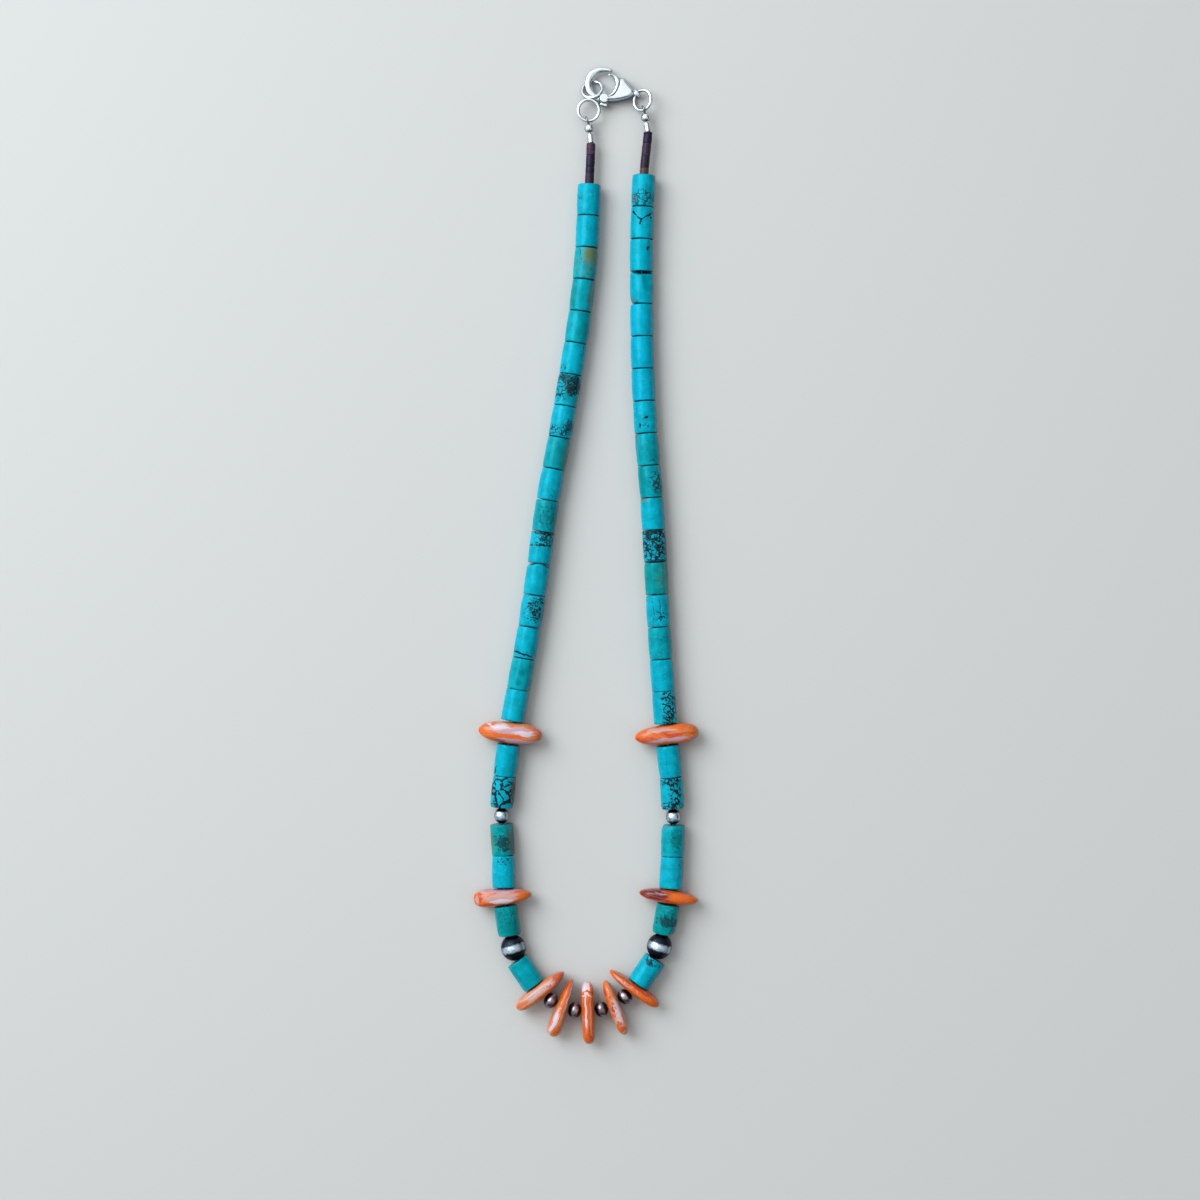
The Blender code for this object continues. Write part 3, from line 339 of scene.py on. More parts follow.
HEISHI_TONES = {
    "left": [(0.040, 0.018, 0.034, 1), (0.012, 0.009, 0.022, 1), (0.010, 0.008, 0.021, 1), (0.024, 0.011, 0.024, 1)],
    "right": [(0.012, 0.009, 0.022, 1), (0.011, 0.008, 0.021, 1), (0.028, 0.015, 0.028, 1), (0.016, 0.010, 0.018, 1),
              (0.060, 0.034, 0.034, 1)],
}


def plan(degrees):
    """Unit vector in plan at an angle from +X."""
    turn = math.radians(degrees)
    return Vector((math.cos(turn), math.sin(turn), 0.0))


def wrap(bm, loops, join_ends):
    """Faces between each loop of points and the next. The last meets the first, or both ends are capped."""
    rows = [[bm.verts.new(point) for point in loop] for loop in loops]
    pairs = list(zip(rows, rows[1:]))
    if join_ends:
        pairs.append((rows[-1], rows[0]))
    for row, after in pairs:
        for k in range(len(row)):
            step = (k + 1) % len(row)
            bm.faces.new((row[k], row[step], after[step], after[k]))
    if not join_ends:
        bm.faces.new(rows[0])
        bm.faces.new(rows[-1])
    bmesh.ops.recalc_face_normals(bm, faces=bm.faces)


def smooth_rows(rows, steps):
    """Rows of numbers, with Catmull-Rom rows between them."""
    ends = [rows[0]] + list(rows) + [rows[-1]]
    result = []
    for before, start, end, after in zip(ends, ends[1:], ends[2:], ends[3:]):
        for k in range(steps):
            t = k / steps
            result.append([
                0.5 * (2 * s + (e - b) * t + (2 * b - 5 * s + 4 * e - a) * t ** 2
                       + (3 * s - b - 3 * e + a) * t ** 3)
                for b, s, e, a in zip(before, start, end, after)])
    result.append(list(rows[-1]))
    return result


# ---- Materials

DRIFT = (7.13, 3.71, 5.39)


class Paint:
    """One material and its nodes. place is the point on the piece in millimetres, in the piece's own axes."""

    def __init__(self, name, roughness, metallic=0.0):
        self.material = bpy.data.materials.new(name)
        self.material.use_nodes = True
        self.tree = self.material.node_tree
        self.shader = self.tree.nodes["Principled BSDF"]
        self.constant("Roughness", roughness)
        self.constant("Metallic", metallic)
        where = self.node("ShaderNodeTexCoord", {}).outputs["Object"]
        self.place = self.stretched(where, (1 / MM,) * 3)

    def node(self, kind, values, **settings):
        made = self.tree.nodes.new(kind)
        for name, value in settings.items():
            setattr(made, name, value)
        for key, value in values.items():
            if isinstance(value, bpy.types.NodeSocket):
                self.tree.links.new(value, made.inputs[key])
            else:
                made.inputs[key].default_value = value
        return made

    def constant(self, name, value):
        self.shader.inputs[name].default_value = value

    def math(self, operation, a, b=0.0):
        return self.node("ShaderNodeMath", {0: a, 1: b}, operation=operation).outputs[0]

    def plus(self, a, b):
        return self.math("ADD", a, b)

    def minus(self, a, b):
        return self.math("SUBTRACT", a, b)

    def times(self, a, b):
        return self.math("MULTIPLY", a, b)

    def stretched(self, place, amounts):
        return self.vector("MULTIPLY", place, amounts)

    def vector(self, operation, a, b):
        made = self.node("ShaderNodeVectorMath", {0: a, 1: b}, operation=operation)
        return made.outputs["Value"] if operation in ("LENGTH", "DOT_PRODUCT") else made.outputs["Vector"]

    def along(self, scale=1):
        """Distance from the middle along the string, for a bead."""
        return self.math("ABSOLUTE", self.vector("DOT_PRODUCT", self.place, (0, scale, 0)))

    def mix(self, share, a, b):
        return self.node("ShaderNodeMix", {0: share, 6: a, 7: b}, data_type="RGBA").outputs[2]

    def noise(self, place, scale, detail=2.0):
        values = {"Vector": place, "Scale": scale, "Detail": detail}
        return self.node("ShaderNodeTexNoise", values).outputs[0]

    def ragged(self, place, scale, detail, amount):
        """Noise on either side of nothing."""
        return self.times(self.minus(self.noise(place, scale, detail), 0.5), amount)

    def shade(self, value, low, high):
        """0 where the value is at low, 1 where it is at high, with a soft step between."""
        values = {"Value": value, "From Min": low, "From Max": high}
        return self.node("ShaderNodeMapRange", values, interpolation_type="SMOOTHSTEP").outputs[0]

    def moved(self, place, amount):
        return self.vector("ADD", place, tuple(amount * step for step in DRIFT))

    def warped(self, place, scale, amount):
        """A place pushed about by noise, so that lines wander."""
        push = self.node("ShaderNodeTexNoise", {"Vector": place, "Scale": scale, "Detail": 3.0}).outputs[1]
        push = self.vector("SUBTRACT", push, (0.5, 0.5, 0.5))
        return self.vector("ADD", place, self.stretched(push, (amount,) * 3))

    def bump(self, height, distance):
        values = {"Height": height, "Distance": distance * MM, "Strength": 1.0}
        normal = self.node("ShaderNodeBump", values).outputs[0]
        self.tree.links.new(normal, self.shader.inputs["Normal"])

    def colour(self, socket):
        self.tree.links.new(socket, self.shader.inputs["Base Color"])

    def rough(self, socket):
        self.tree.links.new(socket, self.shader.inputs["Roughness"])


STREAK_GRAIN = (0.3, 1.8, 0.8)
SOFT_EDGES = {"tint": 0.75, "streak": 0.35}


def mark_mask(paint, mark, place):
    """How strongly a mark shows at each point, from 0 to 1."""
    if mark.kind == "vein":
        run = Vector((mark.wide, mark.tall, 0))
        wander = paint.warped(place, 0.8, 0.9)
        offset = paint.vector("SUBTRACT", wander, (mark.x, mark.y, 0))
        offset = paint.stretched(offset, (1, 1, 0))
        share = paint.math("DIVIDE", paint.vector("DOT_PRODUCT", offset, tuple(run)), run.length_squared)
        share = paint.math("MINIMUM", paint.math("MAXIMUM", share, 0.0), 1.0)
        nearest = paint.node("ShaderNodeVectorMath", {0: tuple(run), 3: share}, operation="SCALE").outputs[0]
        distance = paint.vector("LENGTH", paint.vector("SUBTRACT", offset, nearest), (0, 0, 0))
        width = paint.times(paint.shade(paint.noise(place, 1.2), 0.25, 0.7), mark.size * 1.6)
        line = paint.shade(paint.minus(distance, width), mark.size * 0.35, -mark.size * 0.2)
        return paint.times(line, mark.strength)
    grain = place
    if mark.kind == "streak":
        place = paint.warped(place, 0.3, 1.5)
        grain = paint.stretched(place, STREAK_GRAIN)
    offset = paint.vector("SUBTRACT", place, (mark.x, mark.y, 0))
    offset = paint.stretched(offset, (1 / mark.wide, 1 / mark.tall, 0))
    distance = paint.vector("LENGTH", offset, (0, 0, 0))
    ragged = paint.ragged(grain, mark.size, 5.0, 2.2)
    soft = SOFT_EDGES.get(mark.kind, 0.12)
    region = paint.shade(paint.plus(distance, ragged), 1 + soft, 1 - soft)
    if mark.kind == "web":
        cells = paint.warped(place, mark.size * 1.6, 0.9 / mark.size * 0.55)
        edge = paint.node("ShaderNodeTexVoronoi", {"Vector": cells, "Scale": mark.size},
                          feature="DISTANCE_TO_EDGE").outputs["Distance"]
        wide = paint.times(paint.shade(paint.noise(place, 0.9), 0.28, 0.7), 0.18)
        lines = paint.shade(paint.minus(edge, wide), 0.035, -0.01)
        region = paint.times(region, lines)
    elif mark.kind == "specks":
        dots = paint.shade(paint.noise(place, mark.size, 5.0), 0.555, 0.61)
        region = paint.times(region, dots)
    elif mark.kind == "patch":
        region = paint.times(region, paint.shade(paint.noise(place, 1.9, 5.0), 0.30, 0.46))
    return paint.times(region, mark.strength)


def stone_material(name, key, seed, length):
    """Polished turquoise: mottled ground, faint turning streaks, the stone's own matrix, and painted shade at its
    ends, where the beads meet.
    """
    paint = Paint(name, 0.34)
    paint.constant("Specular IOR Level", 0.3)
    paint.constant("Specular Tint", (0.12, 0.8, 1.0, 1))
    place = paint.moved(paint.place, seed)
    tint_name, rows = STONES[key]
    tint = TINTS[tint_name]
    ground = paint.mix(paint.shade(paint.noise(place, 0.45, 3.0), 0.34, 0.66), tint.light, tint.deep)
    pale = tuple(min(1.0, 0.10 + 0.92 * c) for c in tint.light[:3]) + (1,)
    ground = paint.mix(paint.times(paint.shade(paint.noise(place, 1.7, 4.0), 0.58, 0.74), 0.35), ground, pale)
    streaks = paint.noise(paint.stretched(place, (1.5, 0.07, 1.5)), 1.0, 3.0)
    ground = paint.mix(paint.times(paint.shade(streaks, 0.54, 0.72), 0.3), ground, tint.deep)
    pits = paint.shade(paint.noise(place, 2.6, 2.0), 0.70, 0.76)
    ground = paint.mix(paint.times(pits, 0.5), ground, MOSS)
    relief = paint.times(paint.noise(place, 0.8, 4.0), 0.6)
    inked = 0.0
    for mark in (Mark(*row) for row in rows):
        mask = mark_mask(paint, mark, paint.place)
        ground = paint.mix(mask, ground, INK[mark.ink])
        if mark.kind != "tint":
            inked = paint.math("MAXIMUM", inked, mask)
            relief = paint.minus(relief, paint.times(mask, 0.7))
    # Painted shade: each stone darkens at both ends, for the shade in the seams between beads
    edge = paint.plus(paint.along(), paint.times(paint.noise(place, 1.1, 3.0), 0.3))
    end_shade = paint.shade(edge, length / 2 - 0.12, length / 2 + 0.14)
    paint.colour(paint.mix(paint.times(end_shade, 0.85), ground, END_SHADE_TEAL))
    grain = paint.times(paint.noise(place, 3.5, 3.0), 0.14)
    paint.rough(paint.plus(paint.plus(grain, 0.18), paint.times(inked, 0.18)))
    paint.bump(relief, 0.05)
    return paint.material


def shell_material(name, shell):
    """Polished shell: growth layers along the slice with fine lines, its own streaks and spots, and dark flecks."""
    paint = Paint(name, 0.3)
    paint.constant("Specular IOR Level", 0.35)
    paint.constant("Coat Weight", 0.12)
    paint.constant("Coat Roughness", 0.12)
    place = paint.moved(paint.place, shell.seed)
    bent = paint.warped(place, 0.16, 3.4)
    wide = paint.noise(paint.stretched(bent, (0.10, shell.bands, 0.30)), 1.0, 4.0)
    fine = paint.noise(paint.stretched(bent, (0.16, 2.6, 0.9)), 1.3, 5.0)
    tone = paint.plus(paint.times(wide, 0.68), paint.times(fine, 0.32))
    start = shell.pale_share
    colour = paint.mix(paint.shade(tone, start, start + 0.08), shell.pale, shell.middle)
    colour = paint.mix(paint.shade(tone, start + 0.1, start + 0.24), colour, shell.deep)
    for mark in (Mark(*row) for row in shell.marks):
        colour = paint.mix(mark_mask(paint, mark, paint.place), colour, INK[mark.ink])
    lines = paint.shade(paint.noise(paint.stretched(bent, (0.22, 4.2, 1.4)), 1.5, 4.0), 0.56, 0.70)
    colour = paint.mix(paint.times(lines, 0.3), colour, WHITE)
    flecks = paint.shade(paint.noise(place, 2.3, 2.0), 0.70, 0.75)
    colour = paint.mix(paint.times(flecks, 0.55), colour, MAROON)
    paint.colour(colour)
    paint.bump(tone, 0.05)
    return paint.material


def heishi_material(name, tone, seed):
    """Dark shell disc: purple-brown, with streaks round its rim."""
    paint = Paint(name, 0.42)
    paint.constant("Specular IOR Level", 0.22)
    paint.constant("Specular Tint", (0.75, 0.65, 1.0, 1))
    place = paint.moved(paint.place, seed)
    streaks = paint.noise(paint.stretched(place, (1.0, 4.0, 1.0)), 0.9, 4.0)
    light = tuple(min(1.0, c * 3.2 + 0.012) for c in tone[:3]) + (1,)
    paint.colour(paint.mix(paint.times(paint.shade(streaks, 0.48, 0.72), 0.55), tone, light))
    paint.bump(streaks, 0.03)
    return paint.material


def painted_side_shade(paint, colour, strength):
    """Silver's colour, with painted blue-grey shade on its sides and underside, darker where the surface faces away
    from up.
    """
    facing = paint.node("ShaderNodeTexCoord", {}).outputs["Normal"]
    up = paint.vector("DOT_PRODUCT", facing, (0, 0, 1))
    ragged = paint.ragged(paint.place, 0.8, 4.0, 0.3)
    share = paint.shade(paint.plus(up, ragged), 0.70, 0.22)
    return paint.mix(paint.times(share, strength), colour, SIDE_SHADE_BLUE)


def silver_material(name, roughness):
    """Polished silver with hairline scratches, a slightly uneven skin and painted blue-grey shade on its sides."""
    paint = Paint(name, roughness, 1.0)
    paint.constant("Specular Tint", (0.35, 0.45, 0.55, 1))
    cloud = paint.shade(paint.noise(paint.place, 0.6, 4.0), 0.35, 0.75)
    pale = paint.mix(paint.times(cloud, 0.3), SILVER, DULL_SILVER)
    # Painted shade: the silver turns blue-grey where it faces sideways or down
    paint.colour(painted_side_shade(paint, pale, 0.75))
    scratches = paint.noise(paint.stretched(paint.place, (1.2, 9.0, 3.0)), 2.0, 3.0)
    paint.rough(paint.plus(paint.times(scratches, 0.12), roughness - 0.05))
    paint.bump(paint.noise(paint.place, 1.1, 3.0), 0.03)
    return paint.material


def ball_material(name, radius, band, ends, roughness):
    """Silver bead, brushed pale round its middle and blackened towards its holes, as shares of its radius."""
    paint = Paint(name, roughness, 1.0)
    ragged = paint.ragged(paint.place, 0.9, 4.0, 0.25)
    dark = paint.shade(paint.plus(paint.along(1 / radius), ragged), band, ends)
    cloud = paint.shade(paint.noise(paint.place, 1.6, 5.0), 0.40, 0.66)
    pale = paint.mix(cloud, BRUSHED, DULL_BRUSHED)
    worn = paint.shade(paint.noise(paint.place, 2.4, 3.0), 0.60, 0.75)
    black = paint.mix(worn, BLACKENED, WORN_BLACK)
    # Painted shade on the pale band's sides and underside, as on the other silver
    paint.colour(paint.mix(dark, painted_side_shade(paint, pale, 0.85), black))
    rings = paint.noise(paint.stretched(paint.place, (0.5, 14.0, 0.5)), 1.0, 2.0)
    paint.rough(paint.plus(paint.times(rings, 0.16), roughness))
    paint.bump(rings, 0.012)
    return paint.material


def spacer_material(name, seed):
    """Darkened silver, grey-purple, worn paler round its middle and black at its holes."""
    paint = Paint(name, 0.34, 1.0)
    place = paint.moved(paint.place, seed)
    worn = paint.shade(paint.noise(place, 0.8, 4.0), 0.36, 0.70)
    colour = paint.mix(worn, SPACER_GREY, SPACER_WORN)
    ragged = paint.ragged(place, 1.3, 4.0, 0.8)
    ends = paint.shade(paint.plus(paint.along(), ragged), 0.55, 1.05)
    paint.colour(paint.mix(ends, colour, SPACER_BLACK))
    paint.rough(paint.plus(paint.times(paint.noise(place, 2.0, 3.0), 0.2), 0.24))
    paint.bump(paint.noise(place, 1.4, 4.0), 0.03)
    return paint.material


# ---- Pieces

def mesh_of(name, bm):
    """A finished mesh from one under construction, which is used up."""
    mesh = bpy.data.meshes.new(name)
    bm.to_mesh(mesh)
    bm.free()
    return mesh


def in_scene(name, data):
    """A new object in the scene."""
    made = bpy.data.objects.new(name, data)
    bpy.context.scene.collection.objects.link(made)
    return made


def add_piece(name, bm, material, place, nodes, body="necklace"):
    """A shown piece from a mesh in millimetres, set in the frame, standing for CAD nodes."""
    bmesh.ops.scale(bm, vec=(MM, MM, MM), verts=bm.verts)
    mesh = mesh_of(name, bm)
    mesh.shade_smooth()
    mesh.materials.append(material)
    piece = in_scene(name, mesh)
    piece.matrix_world = place
    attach(piece, body)
    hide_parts(*nodes)
    return piece


def bead_place(start, end):
    """The frame of a bead: Y along it towards the clasp, X to the right seen from above, origin in the middle."""
    along = (end - start).normalized()
    side = along.cross(UP).normalized()
    rise = side.cross(along)
    turn = Matrix((side, along, rise)).transposed().to_4x4()
    return Matrix.Translation((start + end) / 2) @ turn


def around(sides, offset=0.0):
    """Angles spread round a circle."""
    return [2 * math.pi * (k + offset) / sides for k in range(sides)]


def turned(profile, sides):
    """Loops of a shape turned about Y, from rows of (place along, radius)."""
    return [[Vector((radius * math.sin(t), along, radius * math.cos(t))) for t in around(sides)]
            for along, radius in profile]


def rounded_profile(length, radius, edge, barrel, rows, bore):
    """Half section of a drilled tube with rounded edges, from its low hole to its high one and back."""
    half = length / 2
    flat = half - edge
    low = []
    for k in range(EDGE_STEPS + 1):
        turn = math.pi / 2 * k / EDGE_STEPS
        low.append((-flat - edge * math.cos(turn), radius - barrel - edge + edge * math.sin(turn)))
    middle = []
    for k in range(1, rows):
        share = 2 * k / rows - 1
        middle.append((flat * share, radius - barrel * share ** 2))
    high = [(-along, out) for along, out in reversed(low)]
    ends = [(-half, bore + HOLE_EDGE)] + low + middle + high + [(half, bore + HOLE_EDGE)]
    return ends + [(half - HOLE_RELIEF, bore), (-half + HOLE_RELIEF, bore)]


def add_stone(name, key, node, start, end, seed):
    """One turquoise tube: slightly uneven, its ends a little off square, with flats where it was ground."""
    length = (end - start).length / MM
    bm = bmesh.new()
    barrel = 0.05 + 0.09 * math.sin(seed * 1.7) ** 2
    profile = rounded_profile(length, TUBE_RADIUS + TUBE_SWELL, TUBE_EDGE, barrel, BEAD_ROWS, BORE_RADIUS)
    wrap(bm, turned(profile, BEAD_SIDES), True)
    tilt = Vector((math.sin(seed * 2.3), 0, math.cos(seed * 3.1))) * 0.016
    for vert in bm.verts:
        out = Vector((vert.co.x, 0, vert.co.z))
        if out.length > BORE_RADIUS + 0.2:
            lumps = noise.noise(vert.co * 0.32 + Vector((seed * 5.1, seed, 0)))
            fine = noise.noise(vert.co * 1.4 + Vector((0, seed * 3.3, 0)))
            vert.co -= out.normalized() * (0.055 * (1 + lumps) + 0.012 * (1 + fine))
            vert.co.y *= 1 - 0.012 * (1 + noise.noise(Vector((out.x * 0.5, seed * 9.0, out.z * 0.5))))
        vert.co.y += vert.co.dot(tilt) * abs(vert.co.y) * 2 / length
    for bead, facing, reach in FLATS:
        if bead == key:
            facing = Vector(facing).normalized()
            for vert in bm.verts:
                beyond = vert.co.dot(facing) - reach
                if beyond > 0:
                    vert.co -= facing * beyond
    add_piece(name, bm, stone_material(name, key, seed, length), bead_place(start, end), [node])


def add_ball(name, node, start, end, radius, material, bore=BORE_RADIUS):
    """A round drilled bead."""
    half = (end - start).length / MM / 2
    first = math.asin(bore / radius)
    profile = []
    for k in range(BALL_ROWS + 1):
        turn = first + (math.pi - 2 * first) * k / BALL_ROWS
        profile.append((-math.cos(turn) * half, radius * math.sin(turn)))
    add_piece(name, loops_mesh(turned(profile, BEAD_SIDES), True), material, bead_place(start, end), [node])


def add_slice(name, start, end):
    """One shell slice across the string, drilled through its thickness."""
    form = SLICES[name]
    limit = math.cos(math.pi / SOLID_SLICE_CORNERS) ** SLICE_SECTION_POWER
    middle = (start + end) / 2
    run = end - start
    turn = math.atan2(run.y, run.x) + math.pi / 2 + math.radians(form.lean)
    shell = Shell(*SHELLS[name])
    seed = shell.seed
    loops = []
    for k in range(SLICE_STATIONS + 1):
        share = math.sin(math.pi * (k / SLICE_STATIONS - 0.5))
        power = form.inner if share > 0 else form.outer
        full = math.sqrt(max(1 - abs(share) ** power, 0.0004))
        tall = math.sqrt(max(1 - abs(share) ** SLICE_HEIGHT_POWER, 0.0004))
        half_thick = (form.thick / 2 + SLICE_SWELL) * (1 + form.taper * share) * full / limit
        half_high = SLICE_HEIGHT / 2 * tall
        along = share * form.length / 2 - form.shift
        loop = []
        for angle in around(SLICE_CORNERS, 0.5):
            across = math.copysign(abs(math.cos(angle)) ** SLICE_SECTION_POWER, math.cos(angle))
            rise = math.copysign(abs(math.sin(angle)) ** SLICE_SECTION_POWER, math.sin(angle))
            point = Vector((along, across * half_thick, rise * half_high))
            dent = 1 + noise.noise(point * 0.28 + Vector((seed, seed, 0)))
            fine = 1 + noise.noise(point * 0.9 + Vector((0, seed, seed)))
            point.y *= 1 - 0.035 * dent - 0.012 * fine
            point.z *= 1 - 0.012 * dent
            loop.append(point)
        loops.append(loop)
    bm = bmesh.new()
    wrap(bm, loops, False)
    material = shell_material(f"slice_{name}", shell)
    place = Matrix.Translation(middle) @ Matrix.Rotation(turn, 4, "Z")
    piece = add_piece(f"shell_{name}", bm, material, place, [f"slice_{name}"])
    cut = bmesh.new()
    axis = place.to_3x3().inverted() @ run.normalized()
    side = axis.cross(UP).normalized()
    rise = side.cross(axis)
    ends = []
    for reach in (-form.thick, form.thick):
        ends.append([(axis * reach + BORE_RADIUS * (math.cos(t) * side + math.sin(t) * rise)) * MM
                     for t in around(BORE_SIDES)])
    wrap(cut, ends, False)
    combine(piece, cut, "DIFFERENCE")


def modify(piece, kind, **settings):
    """Add a modifier to a piece."""
    step = piece.modifiers.new(kind, kind)
    for name, value in settings.items():
        setattr(step, name, value)


def combine(piece, bm, operation):
    """Cut a shape, in the piece's own axes, out of a piece, or join it on."""
    tool = in_scene("tool", mesh_of("tool", bm))
    tool.matrix_world = piece.matrix_world
    modify(piece, "BOOLEAN", operation=operation, solver="EXACT", object=tool)
    settle(piece)
    bpy.data.objects.remove(tool)


def settle(piece):
    """Apply a piece's modifiers to its mesh."""
    graph = bpy.context.evaluated_depsgraph_get()
    graph.update()
    mesh = bpy.data.meshes.new_from_object(piece.evaluated_get(graph))
    mesh.name = piece.name
    piece.modifiers.clear()
    piece.data = mesh
    mesh.shade_smooth()


def tube_loops(path, radius, sides):
    """Loops round an open path, turned as little as possible from one point to the next."""
    headings = []
    for number in range(len(path)):
        before = path[max(number - 1, 0)]
        after = path[min(number + 1, len(path) - 1)]
        headings.append((after - before).normalized())
    side = headings[0].orthogonal().normalized()
    loops = []
    for point, heading in zip(path, headings):
        side = (side - side.dot(heading) * heading).normalized()
        other = heading.cross(side)
        loops.append([point + radius * (math.cos(t) * side + math.sin(t) * other) for t in around(sides)])
    return loops


def ring_loops(centre, across, up, outside):
    """Loops of a round wire ring in the plane of two unit vectors."""
    normal = across.cross(up)
    middle = (outside - RING_WIRE) / 2
    loops = []
    for turn in around(RING_STEPS, 0.5):
        out = math.cos(turn) * across + math.sin(turn) * up
        loops.append([centre + out * (middle + RING_WIRE / 2 * math.cos(t)) + normal * (RING_WIRE / 2 * math.sin(t))
                      for t in around(RING_SIDES)])
    return loops


def link_frame():
    """Centres and planes of the figure-eight link's two rings, and the point that the left loop goes round."""
    reach = (LINK_UPPER_OUTSIDE - RING_WIRE) / 2
    rise = HOOK_HEIGHT / 2 + GAP + RING_WIRE / 2
    tilt = math.asin(rise / reach)
    hook_middle = HOOK_INNER_RADIUS + HOOK_WIDTH / 2
    inward = math.sqrt(hook_middle ** 2 - (reach * math.cos(tilt)) ** 2)
    level = plan(LINK_BEARING)
    centre = claw_origin + level * inward
    slope = plan(LINK_BEARING + 90) * math.cos(tilt) + Vector((0, 0, math.sin(tilt)))
    turn = math.radians(WAIST_BEARING - LINK_BEARING)
    turn = math.atan2(math.sin(turn) / math.cos(tilt), math.cos(turn))
    waist = centre + reach * (math.cos(turn) * level + math.sin(turn) * slope)
    lower_reach = (LINK_LOWER_OUTSIDE - RING_WIRE) / 2
    span = WAIST_STEP + 2 * lower_reach
    drop = crimp_height - waist.z
    flat = math.sqrt(span ** 2 - drop ** 2)
    heading = (plan(LOWER_BEARING) * flat + Vector((0, 0, drop))).normalized()
    far_end = waist + heading * span
    upper = (centre, level, slope, LINK_UPPER_OUTSIDE)
    lower = (far_end - heading * lower_reach, heading, plan(LOWER_BEARING + 90), LINK_LOWER_OUTSIDE)
    return upper, lower, far_end


def jump_ring_frame():
    """Centre and plane of the jump ring, and the points where the claw's eye and the right loop hold it."""
    across = Vector((math.cos(math.radians(JUMP_RING_TILT)), 0, math.sin(math.radians(JUMP_RING_TILT))))
    up = Vector((0, 1, 0))
    reach = (JUMP_RING_OUTSIDE - RING_WIRE) / 2
    at_eye = math.radians(EYE_ANGLE)
    eye = claw_origin + CLAW_REACH * plan(CLAW_TURN) - Vector((0, 0, EYE_SAG))
    centre = eye - reach * (math.cos(at_eye) * across + math.sin(at_eye) * up)
    along = -math.sin(at_eye) * across + math.cos(at_eye) * up
    at_loop = math.radians(LOOP_ANGLE)
    held = centre + reach * (math.cos(at_loop) * across + math.sin(at_loop) * up)
    return (centre, across, up, JUMP_RING_OUTSIDE), along, held


def end_loop(held, ball_start, ball_end):
    """The wire's teardrop loop: out of the ball, round a ring's wire and back into it."""
    away = (held - ball_start).normalized()
    radius = RING_WIRE / 2 + GAP + WIRE_RADIUS
    middle = (ball_start + ball_end) / 2
    path = [middle + UP * STRAND_OFFSET, ball_start + UP * STRAND_OFFSET]
    for k in range(LOOP_STEPS + 1):
        turn = math.radians(LOOP_HALF_TURN * (1 - 2 * k / LOOP_STEPS))
        path.append(held + radius * (math.cos(turn) * away + math.sin(turn) * UP))
    path += [ball_start - UP * STRAND_OFFSET, middle - UP * STRAND_OFFSET, ball_end - UP * STRAND_OFFSET / 3]
    return path


def band_loops(sections, width, height):
    """A curved bar round the claw's hollow, in the claw's plane, with rounded ends."""
    rows = smooth_rows([tuple(row) for row in sections], BAND_STEPS)
    loops = []
    for angle, inner, wide in rows:
        half_wide = width * wide / 2
        middle = HOOK_INNER_RADIUS * inner + half_wide
        turn = math.radians(angle)
        loop = []
        for corner in around(BAND_SIDES, 0.5):
            out = middle + half_wide * math.cos(corner)
            rise = height / 2 * math.sin(corner)
            loop.append(Vector((out * math.cos(turn), out * math.sin(turn), rise)))
        loops.append(loop)
    return loops


def disc_outline(centre, radius, sides, stretch=0.0):
    """A round outline, its two halves moved apart along the claw by a stretch."""
    outline = []
    for turn in around(sides, 0.5):
        run = math.copysign(stretch / 2, math.cos(turn))
        outline.append((centre[0] + run + radius * math.cos(turn), centre[1] + radius * math.sin(turn)))
    return outline


def block(outline, low, high, dome=0.0):
    """An upright block on an outline, rounded over towards its two faces by a share of its size."""
    across = [p[0] for p in outline]
    along = [p[1] for p in outline]
    middle = Vector((min(across) + max(across), min(along) + max(along), 0)) / 2
    steps = DOME_STEPS if dome else 1
    loops = []
    for k in range(steps + 1):
        turn = math.pi * (k / steps - 0.5)
        size = 1 - dome * (1 - math.cos(turn))
        rise = Vector((0, 0, (low + high) / 2 + (high - low) / 2 * math.sin(turn)))
        loops.append([middle + (Vector((a, b, 0)) - middle) * size + rise for a, b in outline])
    bm = bmesh.new()
    wrap(bm, loops, False)
    return bm


def loops_mesh(loops, join_ends=False):
    """A mesh wrapped round loops."""
    bm = bmesh.new()
    wrap(bm, loops, join_ends)
    return bm


def joined(first, solids):
    """One shape from a first one and solids, which are used up."""
    for solid in solids:
        first.from_mesh(mesh_of("solid", solid))
    return first


def fused(name, solids, cuts, voxel, smoothing, extra=()):
    """Solids in one smooth cast skin, less the cuts. Everything is in millimetres."""
    piece = in_scene(name, mesh_of(name, joined(bmesh.new(), solids)))
    modify(piece, "REMESH", mode="VOXEL", voxel_size=voxel)
    settle(piece)
    for cut in cuts:
        combine(piece, cut, "DIFFERENCE")
    whole = bmesh.new()
    whole.from_mesh(piece.data)
    piece.data = mesh_of(name, joined(whole, extra))
    modify(piece, "REMESH", mode="VOXEL", voxel_size=voxel)
    modify(piece, "SMOOTH", factor=0.5, iterations=smoothing)
    settle(piece)
    result = bmesh.new()
    result.from_mesh(piece.data)
    bpy.data.objects.remove(piece)
    return result


def cylinder(start, end, radius, sides=32):
    """A round bar between two points."""
    return loops_mesh(tube_loops([start, end], radius, sides))


def rectangle(left, right, low, high):
    """The outline of a rectangle in the claw's plane."""
    return [(left, low), (right, low), (right, high), (left, high)]


def round_ball(centre, radius, rise=1.0):
    """A ball, stretched upwards by a share."""
    bm = bmesh.new()
    where = Matrix.Translation(centre) @ Matrix.Scale(rise, 4, UP)
    bmesh.ops.create_icosphere(bm, subdivisions=4, radius=radius, matrix=where)
    return bm


